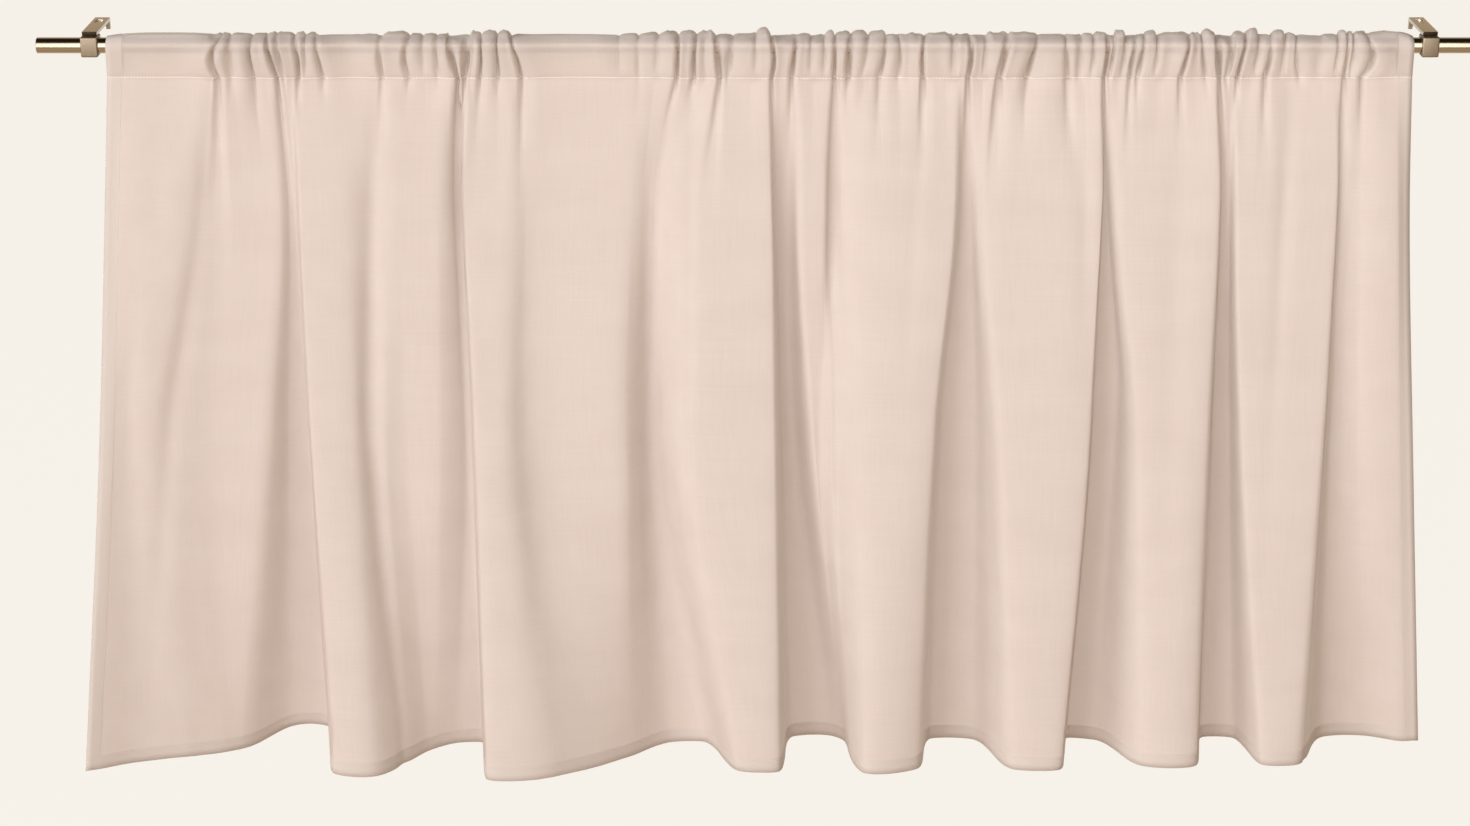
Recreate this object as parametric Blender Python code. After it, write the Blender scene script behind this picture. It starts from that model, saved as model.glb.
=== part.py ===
"""Window valance: one gathered linen cloth on a round curtain rod, which two wall brackets hold.

Metres, +Z up. The front faces -Y and the wall is the plane Y = 0. The origin lies on the wall, midway
between the two brackets, level with the rod's axis. Widths are read along X, heights along Z, and a
fold's depth is how far the cloth stands in front of the rod's axis (+) or behind it (-).
The driving sizes below are in millimetres, and MM turns them into metres.
"""
from collections import namedtuple
from math import cos, pi, radians, sin

import bmesh
import bpy
import numpy as np
from mathutils import Matrix, Vector

MM = 0.001
NEARLY_ZERO = 1e-6
SHARP_FROM = 30.0

# Rod
ROD_RADIUS = 8.0
ROD_LENGTH = 1445.0
ROD_SIDES = 24
ROD_END_CHAMFER = 0.8
ROD_FROM_WALL = 66.0

# Brackets: a sleeve round the rod, and a flat arm that runs back to the wall and turns down there
BRACKET_X = 669.0
COLLAR_WIDTH = 17.0
COLLAR_DEPTH = 20.4
COLLAR_HEIGHT = 20.4
COLLAR_BORE_RADIUS = 8.4
COLLAR_EDGE = 1.6
COLLAR_EDGE_STEPS = 2
ARM_WIDTH = 15.0
ARM_THICKNESS = 4.0
ARM_PAST_AXIS = 3.0
ARM_BEND_RADIUS = 2.4
ARM_BEND_STEPS = 4
ARM_EDGE = 0.5
ARM_SEAT_GAP = 0.3
PLATE_HEIGHT = 12.0
NOTCH_WIDTH = 7.0
NOTCH_HEIGHT = 5.0
RECESS_WIDTH = 8.0
RECESS_LENGTH = 17.0
RECESS_DEPTH = 1.2
RECESS_FROM_WALL = 19.0
ROUND_STEPS = 8

# Cloth
CLOTH_THICKNESS = 1.5
LOOP_RADIUS = 9.7
LOOP_LOW_ANGLE = -16.0
LOOP_STEPS = 5
STITCH_HEIGHT = -32.5
FLAP_BEHIND = 1.95
FLAP_HEIGHT = -31.0
BODY_HEIGHTS = (-55.0, -95.0, -160.0, -260.0, -400.0, -560.0, -690.0, -788.0)
HEM_LIFT = 6.0
HEM_LIFT_X = -498.0
HEM_LIFT_REACH = 34.0

# Heights at which the fold table below gives its widths and depths
HEAD_HEIGHT, UPPER_HEIGHT, MID_HEIGHT, HEM_HEIGHT = STITCH_HEIGHT, -160.0, -400.0, -788.0

# Each fold runs down the cloth between a left and a right shoulder. At the head the cloth is on the rod.
Fold = namedtuple("Fold", "name head_left head_right upper_left upper_right upper_depth "
                          "mid_left mid_right mid_depth hem_left hem_left_depth hem_right hem_right_depth")
FOLDS = (
    Fold("left edge", -655, -649, -666, -659, 3, -686, -677, 16, -725, 38, -712, 34),
    Fold("left panel", -632, -566, -640, -577, 6, -660, -619, 12, -675, 17, -610, 1),
    Fold("left shoulder", -538, -500, -545, -492, -1, -569, -514, 0, -580, -8, -560, -18),
    Fold("first hollow", -484, -474, -480, -473, -8, -493, -476, -24, -515, -61, -474, -62),
    Fold("first fold", -463, -420, -466, -420, 8, -464, -420, 22, -457, 46, -410, 50),
    Fold("shallow hollow", -390, -374, -396, -382, 2, -402, -388, 11, -388, 30, -376, 13),
    Fold("low swell", -356, -321, -366, -327, 4, -369, -333, 8, -362, -8, -350, -19),
    Fold("second hollow", -303, -299, -309, -305, -7, -310, -304, -8, -330, -30, -304, -32),
    Fold("second fold", -291, -254, -298, -256, 6, -293, -262, 26, -291, 58, -240, 60),
    Fold("wide panel", -224, -128, -228, -132, 1, -232, -140, 12, -190, 38, -140, 4),
    Fold("third hollow", -88, -80, -111, -104, -6, -116, -108, -17, -92, -33, -60, -34),
    Fold("third fold", -45, 6, -58, 11, 8, -66, 16, 19, -20, 40, 23, 40),
    Fold("fourth hollow", 16, 32, 17, 34, -12, 25, 43, -26, 37, -43, 84, -46),
    Fold("thin ridge", 45, 62, 43, 64, 3, 55, 64, 0, 95, -34, 97, -25),
    Fold("thin hollow", 75, 79, 72, 77, -4, 74, 81, 9, 99, -8, 102, 12),
    Fold("fourth fold", 101, 195, 100, 198, 8, 106, 182, 24, 113, 41, 173, 32),
    Fold("fifth hollow", 204, 213, 206, 215, -8, 193, 227, -24, 190, -40, 236, -39),
    Fold("fifth fold", 235, 339, 232, 347, 8, 252, 344, 24, 276, 34, 327, 34),
    Fold("sixth hollow", 346, 350, 351, 355, -8, 354, 375, -24, 342, -42, 370, -38),
    Fold("sixth fold", 366, 454, 368, 466, 8, 394, 467, 22, 416, 27, 474, 25),
    Fold("seventh hollow", 463, 471, 473, 480, -9, 480, 495, -24, 491, -43, 524, -43),
    Fold("seventh fold", 484, 572, 488, 584, 6, 504, 586, 14, 546, 25, 584, 23),
    Fold("eighth hollow", 585, 602, 593, 612, -2, 600, 626, -7, 623, -45, 668, -47),
    Fold("right panel", 623, 639, 629, 648, 3, 645, 668, -2, 692, -40, 706, -35),
    Fold("right edge", 652, 655, 660, 663, -3, 682, 685, -6, 724, -36, 728, -36),
)

# Each gather is a crease at the stitch line: its place, how far its top leans to the right,
# how far the cloth stands out beside it, and how far below the stitching it dies away.
Gather = namedtuple("Gather", "at lean depth tail")
GATHERS = (
    Gather(-546, 2, 8, 110), Gather(-530, 2, 5, 20), Gather(-510, 1, 8, 55), Gather(-485, -10, 9, 60),
    Gather(-463, 1, 7, 25), Gather(-442, 0, 7, 20), Gather(-379, 0, 6, 60), Gather(-356, 3, 7, 15),
    Gather(-325, 1, 5, 10), Gather(-304, -7, 9, 60), Gather(-293, 6, 4, 20), Gather(-281, 3, 8, 40),
    Gather(-264, 1, 8, 25), Gather(-240, -9, 8, 50), Gather(-116, 0, 3, 70), Gather(-83, 1, 8, 25),
    Gather(-66, 3, 8, 15), Gather(-40, -5, 9, 60), Gather(12, -1, 8, 40), Gather(31, 8, 8, 50),
    Gather(76, -1, 7, 60), Gather(91, -1, 9, 20), Gather(119, 6, 6, 60), Gather(139, -1, 5, 10),
    Gather(165, -2, 8, 50), Gather(209, 1, 8, 60), Gather(241, 7, 9, 80), Gather(268, 8, 8, 40),
    Gather(309, -4, 6, 70), Gather(333, -2, 5, 5), Gather(348, -1, 8, 60), Gather(375, 5, 7, 40),
    Gather(424, 5, 8, 40), Gather(448, -7, 5, 10), Gather(463, -5, 9, 60), Gather(479, 5, 8, 20),
    Gather(507, 1, 7, 50), Gather(539, -2, 4, 10), Gather(587, -3, 5, 20), Gather(607, -2, 7, 70),
)
CREASE_HALF_WIDTH = 5.5
PUFF_REACH = 19.0
STITCH_PULL = 0.45
BACK_PUFF_SHARE = 0.55
TOP_PUFF_SHARE = 0.75

# Columns of the cloth's grid: the least and the greatest spacing along the heading and along the hem
LEAST_HEAD_STEP = 3.2
LEAST_HEM_STEP = 8.0
GREATEST_HEM_STEP = 26.0
READING_STEPS = 4001

# Colours
LINEN_PINK = (0.72, 0.57, 0.49)
NICKEL = (0.62, 0.58, 0.52)
NICKEL_WARM = (0.50, 0.43, 0.35)


def clear_scene():
    """Removes every object of the open file."""
    for item in list(bpy.data.objects):
        bpy.data.objects.remove(item, do_unlink=True)


def finish_material(name, colour, roughness, metallic):
    """A Principled material of one colour."""
    material = bpy.data.materials.new(name)
    material.use_nodes = True
    shader = material.node_tree.nodes["Principled BSDF"]
    shader.inputs["Base Color"].default_value = (*colour, 1.0)
    shader.inputs["Roughness"].default_value = roughness
    shader.inputs["Metallic"].default_value = metallic
    return material


def add_object(name, mesh_builder, material=None):
    """Turns a bmesh into an object of the scene."""
    mesh = bpy.data.meshes.new(name)
    mesh_builder.to_mesh(mesh)
    mesh_builder.free()
    item = bpy.data.objects.new(name, mesh)
    bpy.context.scene.collection.objects.link(item)
    if material:
        mesh.materials.append(material)
    return item


def at_place(x, depth, height):
    """World place in metres of a point given from the rod's axis in millimetres."""
    return Vector((x * MM, -(ROD_FROM_WALL + depth) * MM, height * MM))


def steady_slopes(knots, values):
    """Slopes at the knots for a curve that never runs past its own values."""
    steps = np.diff(knots)
    rises = np.diff(values) / steps
    slopes = np.zeros(len(knots))
    slopes[0], slopes[-1] = rises[0], rises[-1]
    for i in range(1, len(knots) - 1):
        if rises[i - 1] * rises[i] > 0:
            before = 2 * steps[i] + steps[i - 1]
            after = steps[i] + 2 * steps[i - 1]
            slopes[i] = (before + after) / (before / rises[i - 1] + after / rises[i])
    return slopes


def round_slopes(knots, values):
    """Slopes at the knots for a curve that rounds over its crests and hollows."""
    steps = np.diff(knots)
    rises = np.diff(values) / steps
    slopes = np.zeros(len(knots))
    slopes[0], slopes[-1] = rises[0], rises[-1]
    slopes[1:-1] = (rises[:-1] * steps[1:] + rises[1:] * steps[:-1]) / (steps[:-1] + steps[1:])
    return slopes


def curve_through(knots, values, slopes, at):
    """Cubic through the values, read at the given places."""
    knots, values, at = (np.asarray(v, dtype=float) for v in (knots, values, at))
    i = np.clip(np.searchsorted(knots, at, side="right") - 1, 0, len(knots) - 2)
    step = knots[i + 1] - knots[i]
    t = (at - knots[i]) / step
    start = (1 + 2 * t) * (1 - t) ** 2 * values[i] + t * (1 - t) ** 2 * step * slopes[i]
    end = t * t * (3 - 2 * t) * values[i + 1] + t * t * (t - 1) * step * slopes[i + 1]
    return start + end


def shoulder_lines():
    """The folds' shoulders from left to right: one line each, with its width and depth at four heights."""
    widths, depths = [], []
    for fold in FOLDS:
        for side in ("left", "right"):
            widths.append([getattr(fold, f"{level}_{side}") for level in ("head", "upper", "mid", "hem")])
            depths.append([0, fold.upper_depth, fold.mid_depth, getattr(fold, f"hem_{side}_depth")])
    return np.array(widths, dtype=float), np.array(depths, dtype=float)


WIDTHS, DEPTHS = shoulder_lines()
HEM_RUN = np.concatenate(([0.0], np.cumsum(np.hypot(np.diff(WIDTHS[:, 3]), np.diff(DEPTHS[:, 3])))))


def read_lines(across):
    """Width and depth at the four heights, at places given by their run along the hem."""
    widths = [curve_through(HEM_RUN, WIDTHS[:, k], steady_slopes(HEM_RUN, WIDTHS[:, k]), across)
              for k in range(4)]
    depths = [curve_through(HEM_RUN, DEPTHS[:, k], round_slopes(HEM_RUN, DEPTHS[:, k]), across)
              for k in range(4)]
    return np.stack(widths, axis=1), np.stack(depths, axis=1)


def down_the_cloth(values, height):
    """Reads one line's four values at a height between the stitching and the hem."""
    heights = np.array([HEAD_HEIGHT, UPPER_HEIGHT, MID_HEIGHT, HEM_HEIGHT])
    run = HEAD_HEIGHT - heights
    return float(curve_through(run, values, steady_slopes(run, values), [HEAD_HEIGHT - height])[0])


def gathered(x, height, pull):
    """How far the gathers push the cloth out at a heading place; pull draws it back between the puffs."""
    below = max(STITCH_HEIGHT - height, 0.0)
    puff, crease = 0.0, 0.0
    for gather in GATHERS:
        fade = np.exp(-below / gather.tail)
        puff = max(puff, gather.depth * fade * np.exp(-((x - gather.at) / PUFF_REACH) ** 2))
        crease = max(crease, fade * np.exp(-((x - gather.at) / CREASE_HALF_WIDTH) ** 2))
    return puff * (1.0 - pull - crease)


def lean_at(x):
    """How far the cloth leans to the right between the stitching and the top, at a heading place."""
    places = [WIDTHS[0, 0]] + [gather.at for gather in GATHERS] + [WIDTHS[-1, 0]]
    leans = [0.0] + [gather.lean for gather in GATHERS] + [0.0]
    return float(np.interp(x, places, leans))


def cloth_columns():
    """Runs along the hem of the grid's columns: on the shoulders, the creases and the puffs between."""
    fine = np.linspace(0.0, HEM_RUN[-1], READING_STEPS)
    heading = read_lines(fine)[0][:, 0]
    crease_places = []
    for gather in GATHERS:
        crease_places += [gather.at - CREASE_HALF_WIDTH, gather.at, gather.at + CREASE_HALF_WIDTH]
    creases = np.interp(crease_places, heading, fine)
    kept = [0.0]
    for run in np.sort(np.concatenate((HEM_RUN[1:], creases))):
        head_step = np.interp(run, fine, heading) - np.interp(kept[-1], fine, heading)
        if head_step >= LEAST_HEAD_STEP or run - kept[-1] >= LEAST_HEM_STEP:
            kept.append(float(run))
    kept[-1] = float(HEM_RUN[-1])
    columns = []
    for start, end in zip(kept, kept[1:]):
        parts = int(np.ceil((end - start) / GREATEST_HEM_STEP))
        columns += [start + (end - start) * k / parts for k in range(parts)]
    return np.array(columns + [kept[-1]])


def loop_row(angle, x):
    """A point of the rod pocket at an angle round the rod, from the front over the top to the back."""
    turn = radians(angle)
    push = gathered(x, 0.0, 0.0)
    share = 1.0 if cos(turn) > 0 else BACK_PUFF_SHARE
    depth = (LOOP_RADIUS + push * share) * cos(turn)
    height = (LOOP_RADIUS + push * TOP_PUFF_SHARE) * sin(turn)
    rise = (height - STITCH_HEIGHT) / (LOOP_RADIUS - STITCH_HEIGHT)
    return at_place(x + lean_at(x) * rise, depth, height)


def behind(points, distance):
    """Moves a row of points back along the row's own normal in plan, away from the front."""
    moved = []
    for i, point in enumerate(points):
        before, after = points[max(i - 1, 0)], points[min(i + 1, len(points) - 1)]
        along = (after - before).normalized()
        moved.append(point + Vector((-along.y, along.x, 0.0)) * distance * MM)
    return moved


def cloth_rows():
    """The cloth's middle surface, from the pocket's sewn-down edge behind, over the rod, to the hem."""
    widths, depths = read_lines(cloth_columns())
    heads = widths[:, 0]
    stitch = [at_place(x, gathered(x, STITCH_HEIGHT, STITCH_PULL), STITCH_HEIGHT) for x in heads]
    flap = behind(stitch, FLAP_BEHIND)
    for point in flap:
        point.z = FLAP_HEIGHT * MM
    rows = [flap]
    sweep = (180.0 - 2 * LOOP_LOW_ANGLE) / LOOP_STEPS
    for k in range(LOOP_STEPS + 1):
        angle = 180.0 - LOOP_LOW_ANGLE - sweep * k
        rows.append([loop_row(angle, x) for x in heads])
    rows.append(stitch)
    for height in BODY_HEIGHTS:
        row = []
        for i, head in enumerate(heads):
            x = down_the_cloth(widths[i], height)
            depth = down_the_cloth(depths[i], height) + gathered(head, height, STITCH_PULL)
            lift = 0.0
            if height == HEM_HEIGHT:
                lift = HEM_LIFT * np.exp(-((x - HEM_LIFT_X) / HEM_LIFT_REACH) ** 2)
            row.append(at_place(x, depth, height + lift))
        rows.append(row)
    return rows


def build_cloth():
    """One cloth: a grid laid on the folds and over the rod, then given its thickness."""
    rows = cloth_rows()
    row_count, column_count = len(rows), len(rows[0])
    bm = bmesh.new()
    bmesh.ops.create_grid(bm, x_segments=column_count - 1, y_segments=row_count - 1, size=0.5)
    bm.verts.ensure_lookup_table()
    for vert in bm.verts:
        column = round((vert.co.x + 0.5) * (column_count - 1))
        row = round((vert.co.y + 0.5) * (row_count - 1))
        vert.co = rows[row][column]
    bmesh.ops.reverse_faces(bm, faces=bm.faces)
    cloth = add_object("cloth", bm, finish_material("linen", LINEN_PINK, 0.95, 0.0))
    thickness = cloth.modifiers.new("thickness", "SOLIDIFY")
    thickness.thickness = CLOTH_THICKNESS * MM
    thickness.offset = 0.0
    cloth.data.shade_smooth()


def build_rod():
    """The round rod, a plain bar with its ends chamfered."""
    bm = bmesh.new()
    bmesh.ops.create_cone(bm, cap_ends=True, segments=ROD_SIDES, radius1=ROD_RADIUS * MM,
                          radius2=ROD_RADIUS * MM, depth=ROD_LENGTH * MM)
    ends = [edge for edge in bm.edges if abs(edge.verts[0].co.z - edge.verts[1].co.z) < NEARLY_ZERO]
    bmesh.ops.bevel(bm, geom=ends, offset=ROD_END_CHAMFER * MM, segments=1, profile=0.5,
                    affect="EDGES", material=-1)
    bmesh.ops.rotate(bm, verts=bm.verts, cent=(0, 0, 0), matrix=Matrix.Rotation(pi / 2, 3, "Y"))
    rod = add_object("rod", bm, finish_material("brushed nickel", NICKEL, 0.25, 1.0))
    rod.location = at_place(0, 0, 0)
    rod.data.shade_smooth()
    rod.data.set_sharp_from_angle(angle=radians(SHARP_FROM))


def hide_cutter(cutter):
    """Marks a cutter so that only the piece it cuts shows."""
    cutter.hide_render = True
    cutter.display_type = "WIRE"


def cut(target, cutter):
    """Cuts the cutter's shape out of the target."""
    hide_cutter(cutter)
    modifier = target.modifiers.new("cut", "BOOLEAN")
    modifier.object = cutter
    modifier.solver = "EXACT"


def round_ended_cutter(name, width, length, depth):
    """A flat bar with round ends: length along Y, width along X and depth along Z, centred."""
    bm = bmesh.new()
    radius = width / 2 * MM
    straight = (length - width) / 2 * MM
    turns = [pi * k / ROUND_STEPS for k in range(ROUND_STEPS + 1)]
    outline = [bm.verts.new((radius * cos(t), straight + radius * sin(t), -depth / 2 * MM)) for t in turns]
    outline += [bm.verts.new((-radius * cos(t), -straight - radius * sin(t), -depth / 2 * MM)) for t in turns]
    face = bm.faces.new(outline)
    raised = bmesh.ops.extrude_face_region(bm, geom=[face])
    verts = [item for item in raised["geom"] if isinstance(item, bmesh.types.BMVert)]
    bmesh.ops.translate(bm, verts=verts, vec=(0, 0, depth * MM))
    bmesh.ops.recalc_face_normals(bm, faces=bm.faces)
    return add_object(name, bm)


def build_collar(name, x, material):
    """A square sleeve with rounded edges and a round bore that the rod slides through."""
    bm = bmesh.new()
    bmesh.ops.create_cube(bm, size=1.0)
    bmesh.ops.scale(bm, verts=bm.verts, vec=(COLLAR_WIDTH * MM, COLLAR_DEPTH * MM, COLLAR_HEIGHT * MM))
    bmesh.ops.bevel(bm, geom=bm.edges[:], offset=COLLAR_EDGE * MM, segments=COLLAR_EDGE_STEPS, profile=0.5,
                    affect="EDGES", material=-1)
    collar = add_object(name, bm, material)
    collar.location = at_place(x, 0, 0)
    bore = bmesh.new()
    bmesh.ops.create_cone(bore, cap_ends=True, segments=ROD_SIDES, radius1=COLLAR_BORE_RADIUS * MM,
                          radius2=COLLAR_BORE_RADIUS * MM, depth=COLLAR_WIDTH * 2 * MM)
    bmesh.ops.rotate(bore, verts=bore.verts, cent=(0, 0, 0), matrix=Matrix.Rotation(pi / 2, 3, "Y"))
    cutter = add_object(f"{name}_bore_cutter", bore)
    cutter.location = collar.location
    cut(collar, cutter)


def build_arm(name, x, material):
    """A flat arm on top of the collar, turned down at the wall, with a recess above and a notch below."""
    underside = COLLAR_HEIGHT / 2 + ARM_SEAT_GAP
    top = underside + ARM_THICKNESS
    front = ROD_FROM_WALL + ARM_PAST_AXIS
    side_view = ((-front, underside), (-ARM_THICKNESS, underside), (-ARM_THICKNESS, top - PLATE_HEIGHT),
                 (0.0, top - PLATE_HEIGHT), (0.0, top), (-front, top))
    bm = bmesh.new()
    outline = [bm.verts.new(((x - ARM_WIDTH / 2) * MM, y * MM, z * MM)) for y, z in side_view]
    face = bm.faces.new(outline)
    widened = bmesh.ops.extrude_face_region(bm, geom=[face])
    verts = [item for item in widened["geom"] if isinstance(item, bmesh.types.BMVert)]
    bmesh.ops.translate(bm, verts=verts, vec=(ARM_WIDTH * MM, 0, 0))
    bmesh.ops.recalc_face_normals(bm, faces=bm.faces)
    corner = [edge for edge in bm.edges
              if all(abs(v.co.y) < NEARLY_ZERO and abs(v.co.z - top * MM) < NEARLY_ZERO for v in edge.verts)]
    bmesh.ops.bevel(bm, geom=corner, offset=ARM_BEND_RADIUS * MM, segments=ARM_BEND_STEPS, profile=0.5,
                    affect="EDGES", material=-1)
    steep = radians(2 * SHARP_FROM)
    sharp = [edge for edge in bm.edges if len(edge.link_faces) == 2 and edge.calc_face_angle() > steep]
    bmesh.ops.bevel(bm, geom=sharp, offset=ARM_EDGE * MM, segments=1, profile=0.5,
                    affect="EDGES", material=-1)
    arm = add_object(name, bm, material)
    recess = round_ended_cutter(f"{name}_recess_cutter", RECESS_WIDTH, RECESS_LENGTH, RECESS_DEPTH * 2)
    recess.location = (x * MM, -RECESS_FROM_WALL * MM, top * MM)
    cut(arm, recess)
    notch = round_ended_cutter(f"{name}_notch_cutter", NOTCH_WIDTH, NOTCH_HEIGHT * 2, ARM_THICKNESS * 3)
    notch.rotation_euler = (pi / 2, 0, 0)
    notch.location = (x * MM, 0, (top - PLATE_HEIGHT) * MM)
    cut(arm, notch)


def build_brackets():
    """The two brackets, left and right."""
    warm = finish_material("matte nickel", NICKEL_WARM, 0.45, 1.0)
    pale = finish_material("satin nickel", NICKEL, 0.4, 1.0)
    for side, x in (("left", -BRACKET_X), ("right", BRACKET_X)):
        build_collar(f"collar_{side}", x, warm)
        build_arm(f"arm_{side}", x, pale)


def main():
    clear_scene()
    build_cloth()
    build_rod()
    build_brackets()


main()
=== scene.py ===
"""Looks of a window valance: a gathered linen cloth on a round rod that two wall brackets hold.

Widths are read along X from midway between the brackets, heights along Z from the rod's axis, and depths
towards the room from the rod's axis. The tables are in millimetres, and MM turns them into metres.
"""
from collections import namedtuple
from math import cos, pi, radians, sin

import bmesh
import bpy
import numpy as np
from mathutils import Matrix, Vector, noise


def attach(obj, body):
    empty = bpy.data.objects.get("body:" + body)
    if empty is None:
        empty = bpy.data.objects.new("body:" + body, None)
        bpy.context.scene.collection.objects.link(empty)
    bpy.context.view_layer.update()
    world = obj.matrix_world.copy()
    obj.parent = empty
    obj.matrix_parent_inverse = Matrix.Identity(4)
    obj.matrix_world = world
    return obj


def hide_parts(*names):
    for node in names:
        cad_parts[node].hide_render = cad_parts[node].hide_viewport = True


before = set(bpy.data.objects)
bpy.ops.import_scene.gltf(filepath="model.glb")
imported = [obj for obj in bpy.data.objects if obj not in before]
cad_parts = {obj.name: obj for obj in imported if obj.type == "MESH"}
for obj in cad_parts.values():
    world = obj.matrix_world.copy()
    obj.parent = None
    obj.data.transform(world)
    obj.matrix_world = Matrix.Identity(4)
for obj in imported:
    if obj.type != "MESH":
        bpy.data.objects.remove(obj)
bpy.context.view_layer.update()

bl_info = {
    "name": "Window Valance",
    "version": (1, 0, 0),
    "blender": (4, 5, 0),
    "location": "3D View > Sidebar > Valance",
    "description": "Builds a gathered linen valance with its rod, brackets and stage",
    "category": "Add Mesh",
}

MM = 0.001
NEARLY_ZERO, SAME_PLACE, NO_LENGTH = 1e-6, 1e-7, 1e-12
BODY = "root"

# Rod pocket: a loop round the rod, sewn down at the stitching, with its turned edge as a flap behind
ROD_FROM_WALL = 66.0
LOOP_RADIUS = 9.7
LOOP_LOW_ANGLE = -16.0
STITCH_HEIGHT = -32.5
FLAP_END = -35.5
FLAP_BEHIND = 1.9
FLAP_THICKNESS_SHARE = 0.6

# The hem is lifted a little at one place
HEM_LIFT, HEM_LIFT_X, HEM_LIFT_REACH, HEM_LIFT_FADE = 6.0, -498.0, 34.0, 60.0

# Flat cloth in metres, and how far up it the pocket's two layers start
FLAT_WIDTH, FLAT_LENGTH = 2.234, 0.90
POCKET_FROM = 756.0

# Linen: widths of its threads, slubs and cloudiness in metres
WEAVE_PITCH = 0.00075
SLUB_WIDTH, SLUB_LENGTH = 0.0012, 0.055
MOTTLE_SIZE = 0.05
# The noise's usable ranges, how much slubs change the openness, and the layers of cloth in a hem
SLUB_RANGE, MOTTLE_RANGE = (0.3, 0.7), (0.35, 0.65)
SLUB_OPENING = 0.07
HEM_LAYERS = 3.0
THREAD_TWIST = (2500.0, 2500.0, 900.0)
THREAD_HEIGHT = 0.4
# Sockets of a Mix node that mixes colours
MIX_FIRST, MIX_SECOND, MIX_RESULT = 6, 7, 2

# Metal: how rough it is, its streaks' scale along three axes and how much darker the dark ones are
Finish = namedtuple("Finish", "roughness grain contrast")
ROD_FINISH = Finish(0.14, (12.0, 1800.0, 1800.0), 0.24)
COLLAR_FINISH = Finish(0.42, (900.0, 900.0, 60.0), 0.12)
ARM_FINISH = Finish(0.28, (1200.0, 40.0, 1200.0), 0.12)
# Finish of the arms' front edges, whose near-black colour is painted shade
PAINTED_SHADE_EDGE_FINISH = Finish(0.5, (40.0, 900.0, 900.0), 0.2)
WEAR_SCALE = (45.0, 45.0, 45.0)

# Rod and brackets, with the angles in degrees that count as sharp
ROD_SHARP_FROM, BRACKET_SHARP_FROM, ARM_CORNER_FROM = 30.0, 35.0, 60.0
FACES_ROOM = -0.9
ROD_SIDES = 96
ROD_RIM = 0.3
ROD_HOLLOW = 25.0
ROUND_SIDES = 48
BRACKET_X = 669.0
COLLAR_WIDTH, COLLAR_DEPTH, COLLAR_HEIGHT = 17.0, 20.4, 20.4
COLLAR_BORE_RADIUS = 8.4
COLLAR_EDGE = 1.6
ARM_WIDTH, ARM_THICKNESS, ARM_PAST_AXIS = 15.0, 4.0, 3.0
ARM_BEND_RADIUS = 2.4
ARM_EDGE = 0.5
ARM_SEAT_GAP = 0.3
PLATE_HEIGHT = 12.0
NOTCH_WIDTH, NOTCH_HEIGHT = 7.0, 5.0
RECESS_WIDTH, RECESS_LENGTH, RECESS_DEPTH, RECESS_FROM_WALL = 8.0, 17.0, 1.2, 19.0

# Stage: places and lengths in metres, angles in degrees
CAMERA_AT = (-0.0248, -2.987, 0.672)
CAMERA_TILT = 70.0
CAMERA_LENS, CAMERA_SENSOR = 72.857, 36.0
FLOOR_HEIGHT, FLOOR_REACH = -2.05, 30.0
# Where the floor's dim painted glow in front of the cloth gives way to its even pale glow behind it
FLOOR_DIM_TO, FLOOR_PALE_FROM = 0.2, 1.6
FLOOR_PAINT = (0.2, 0.2, 0.2)
FRONT_LIGHT_AT = (0.0, -3.26, 0.8)
FRONT_LIGHT_WIDTH, FRONT_LIGHT_HEIGHT = 3.3, 3.4
FRONT_LIGHT_DIFFUSE = 0.22
SIDE_LIGHT_SPREAD, SIDE_LIGHT_AZIMUTH, SIDE_LIGHT_ELEVATION = 50.0, 46.0, 4.0
# Each patch of the room is where it is centred, its reach in degrees and its share of the room's strength
Patch = namedtuple("Patch", "towards reach share")
DIM_PATCH = Patch((0.0, 0.0, 1.0), 37.0, 0.06)
PALE_PATCH = Patch((0.0, 0.94, 0.34), 27.0, 2.0)
PATCH_FADE = 6.0

# Rows of the cloth's grid
LOOP_ROWS = 15
POCKET_FRONT_ROWS = 6
BACK_ROW_SHARES = (0.33, 0.67)
STITCH_LIPS = (-31.1, -33.9)
BODY_STRETCHES = ((-60.0, 6), (-160.0, 9), (-400.0, 13), (-771.4, 18))
HEM_STITCH_IN = 1.5
HEM_EDGE_ABOVE = 0.6
INSIDE_HEM = 0.01
SIDE_HEM_COLUMNS = (0.0, 0.33, 0.66, 0.9, 0.98)
COLUMN_COUNT = 620

# Heights at which the fold table gives its widths and depths
HEAD_HEIGHT, UPPER_HEIGHT, MID_HEIGHT, HEM_HEIGHT = STITCH_HEIGHT, -160.0, -400.0, -788.0

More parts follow.
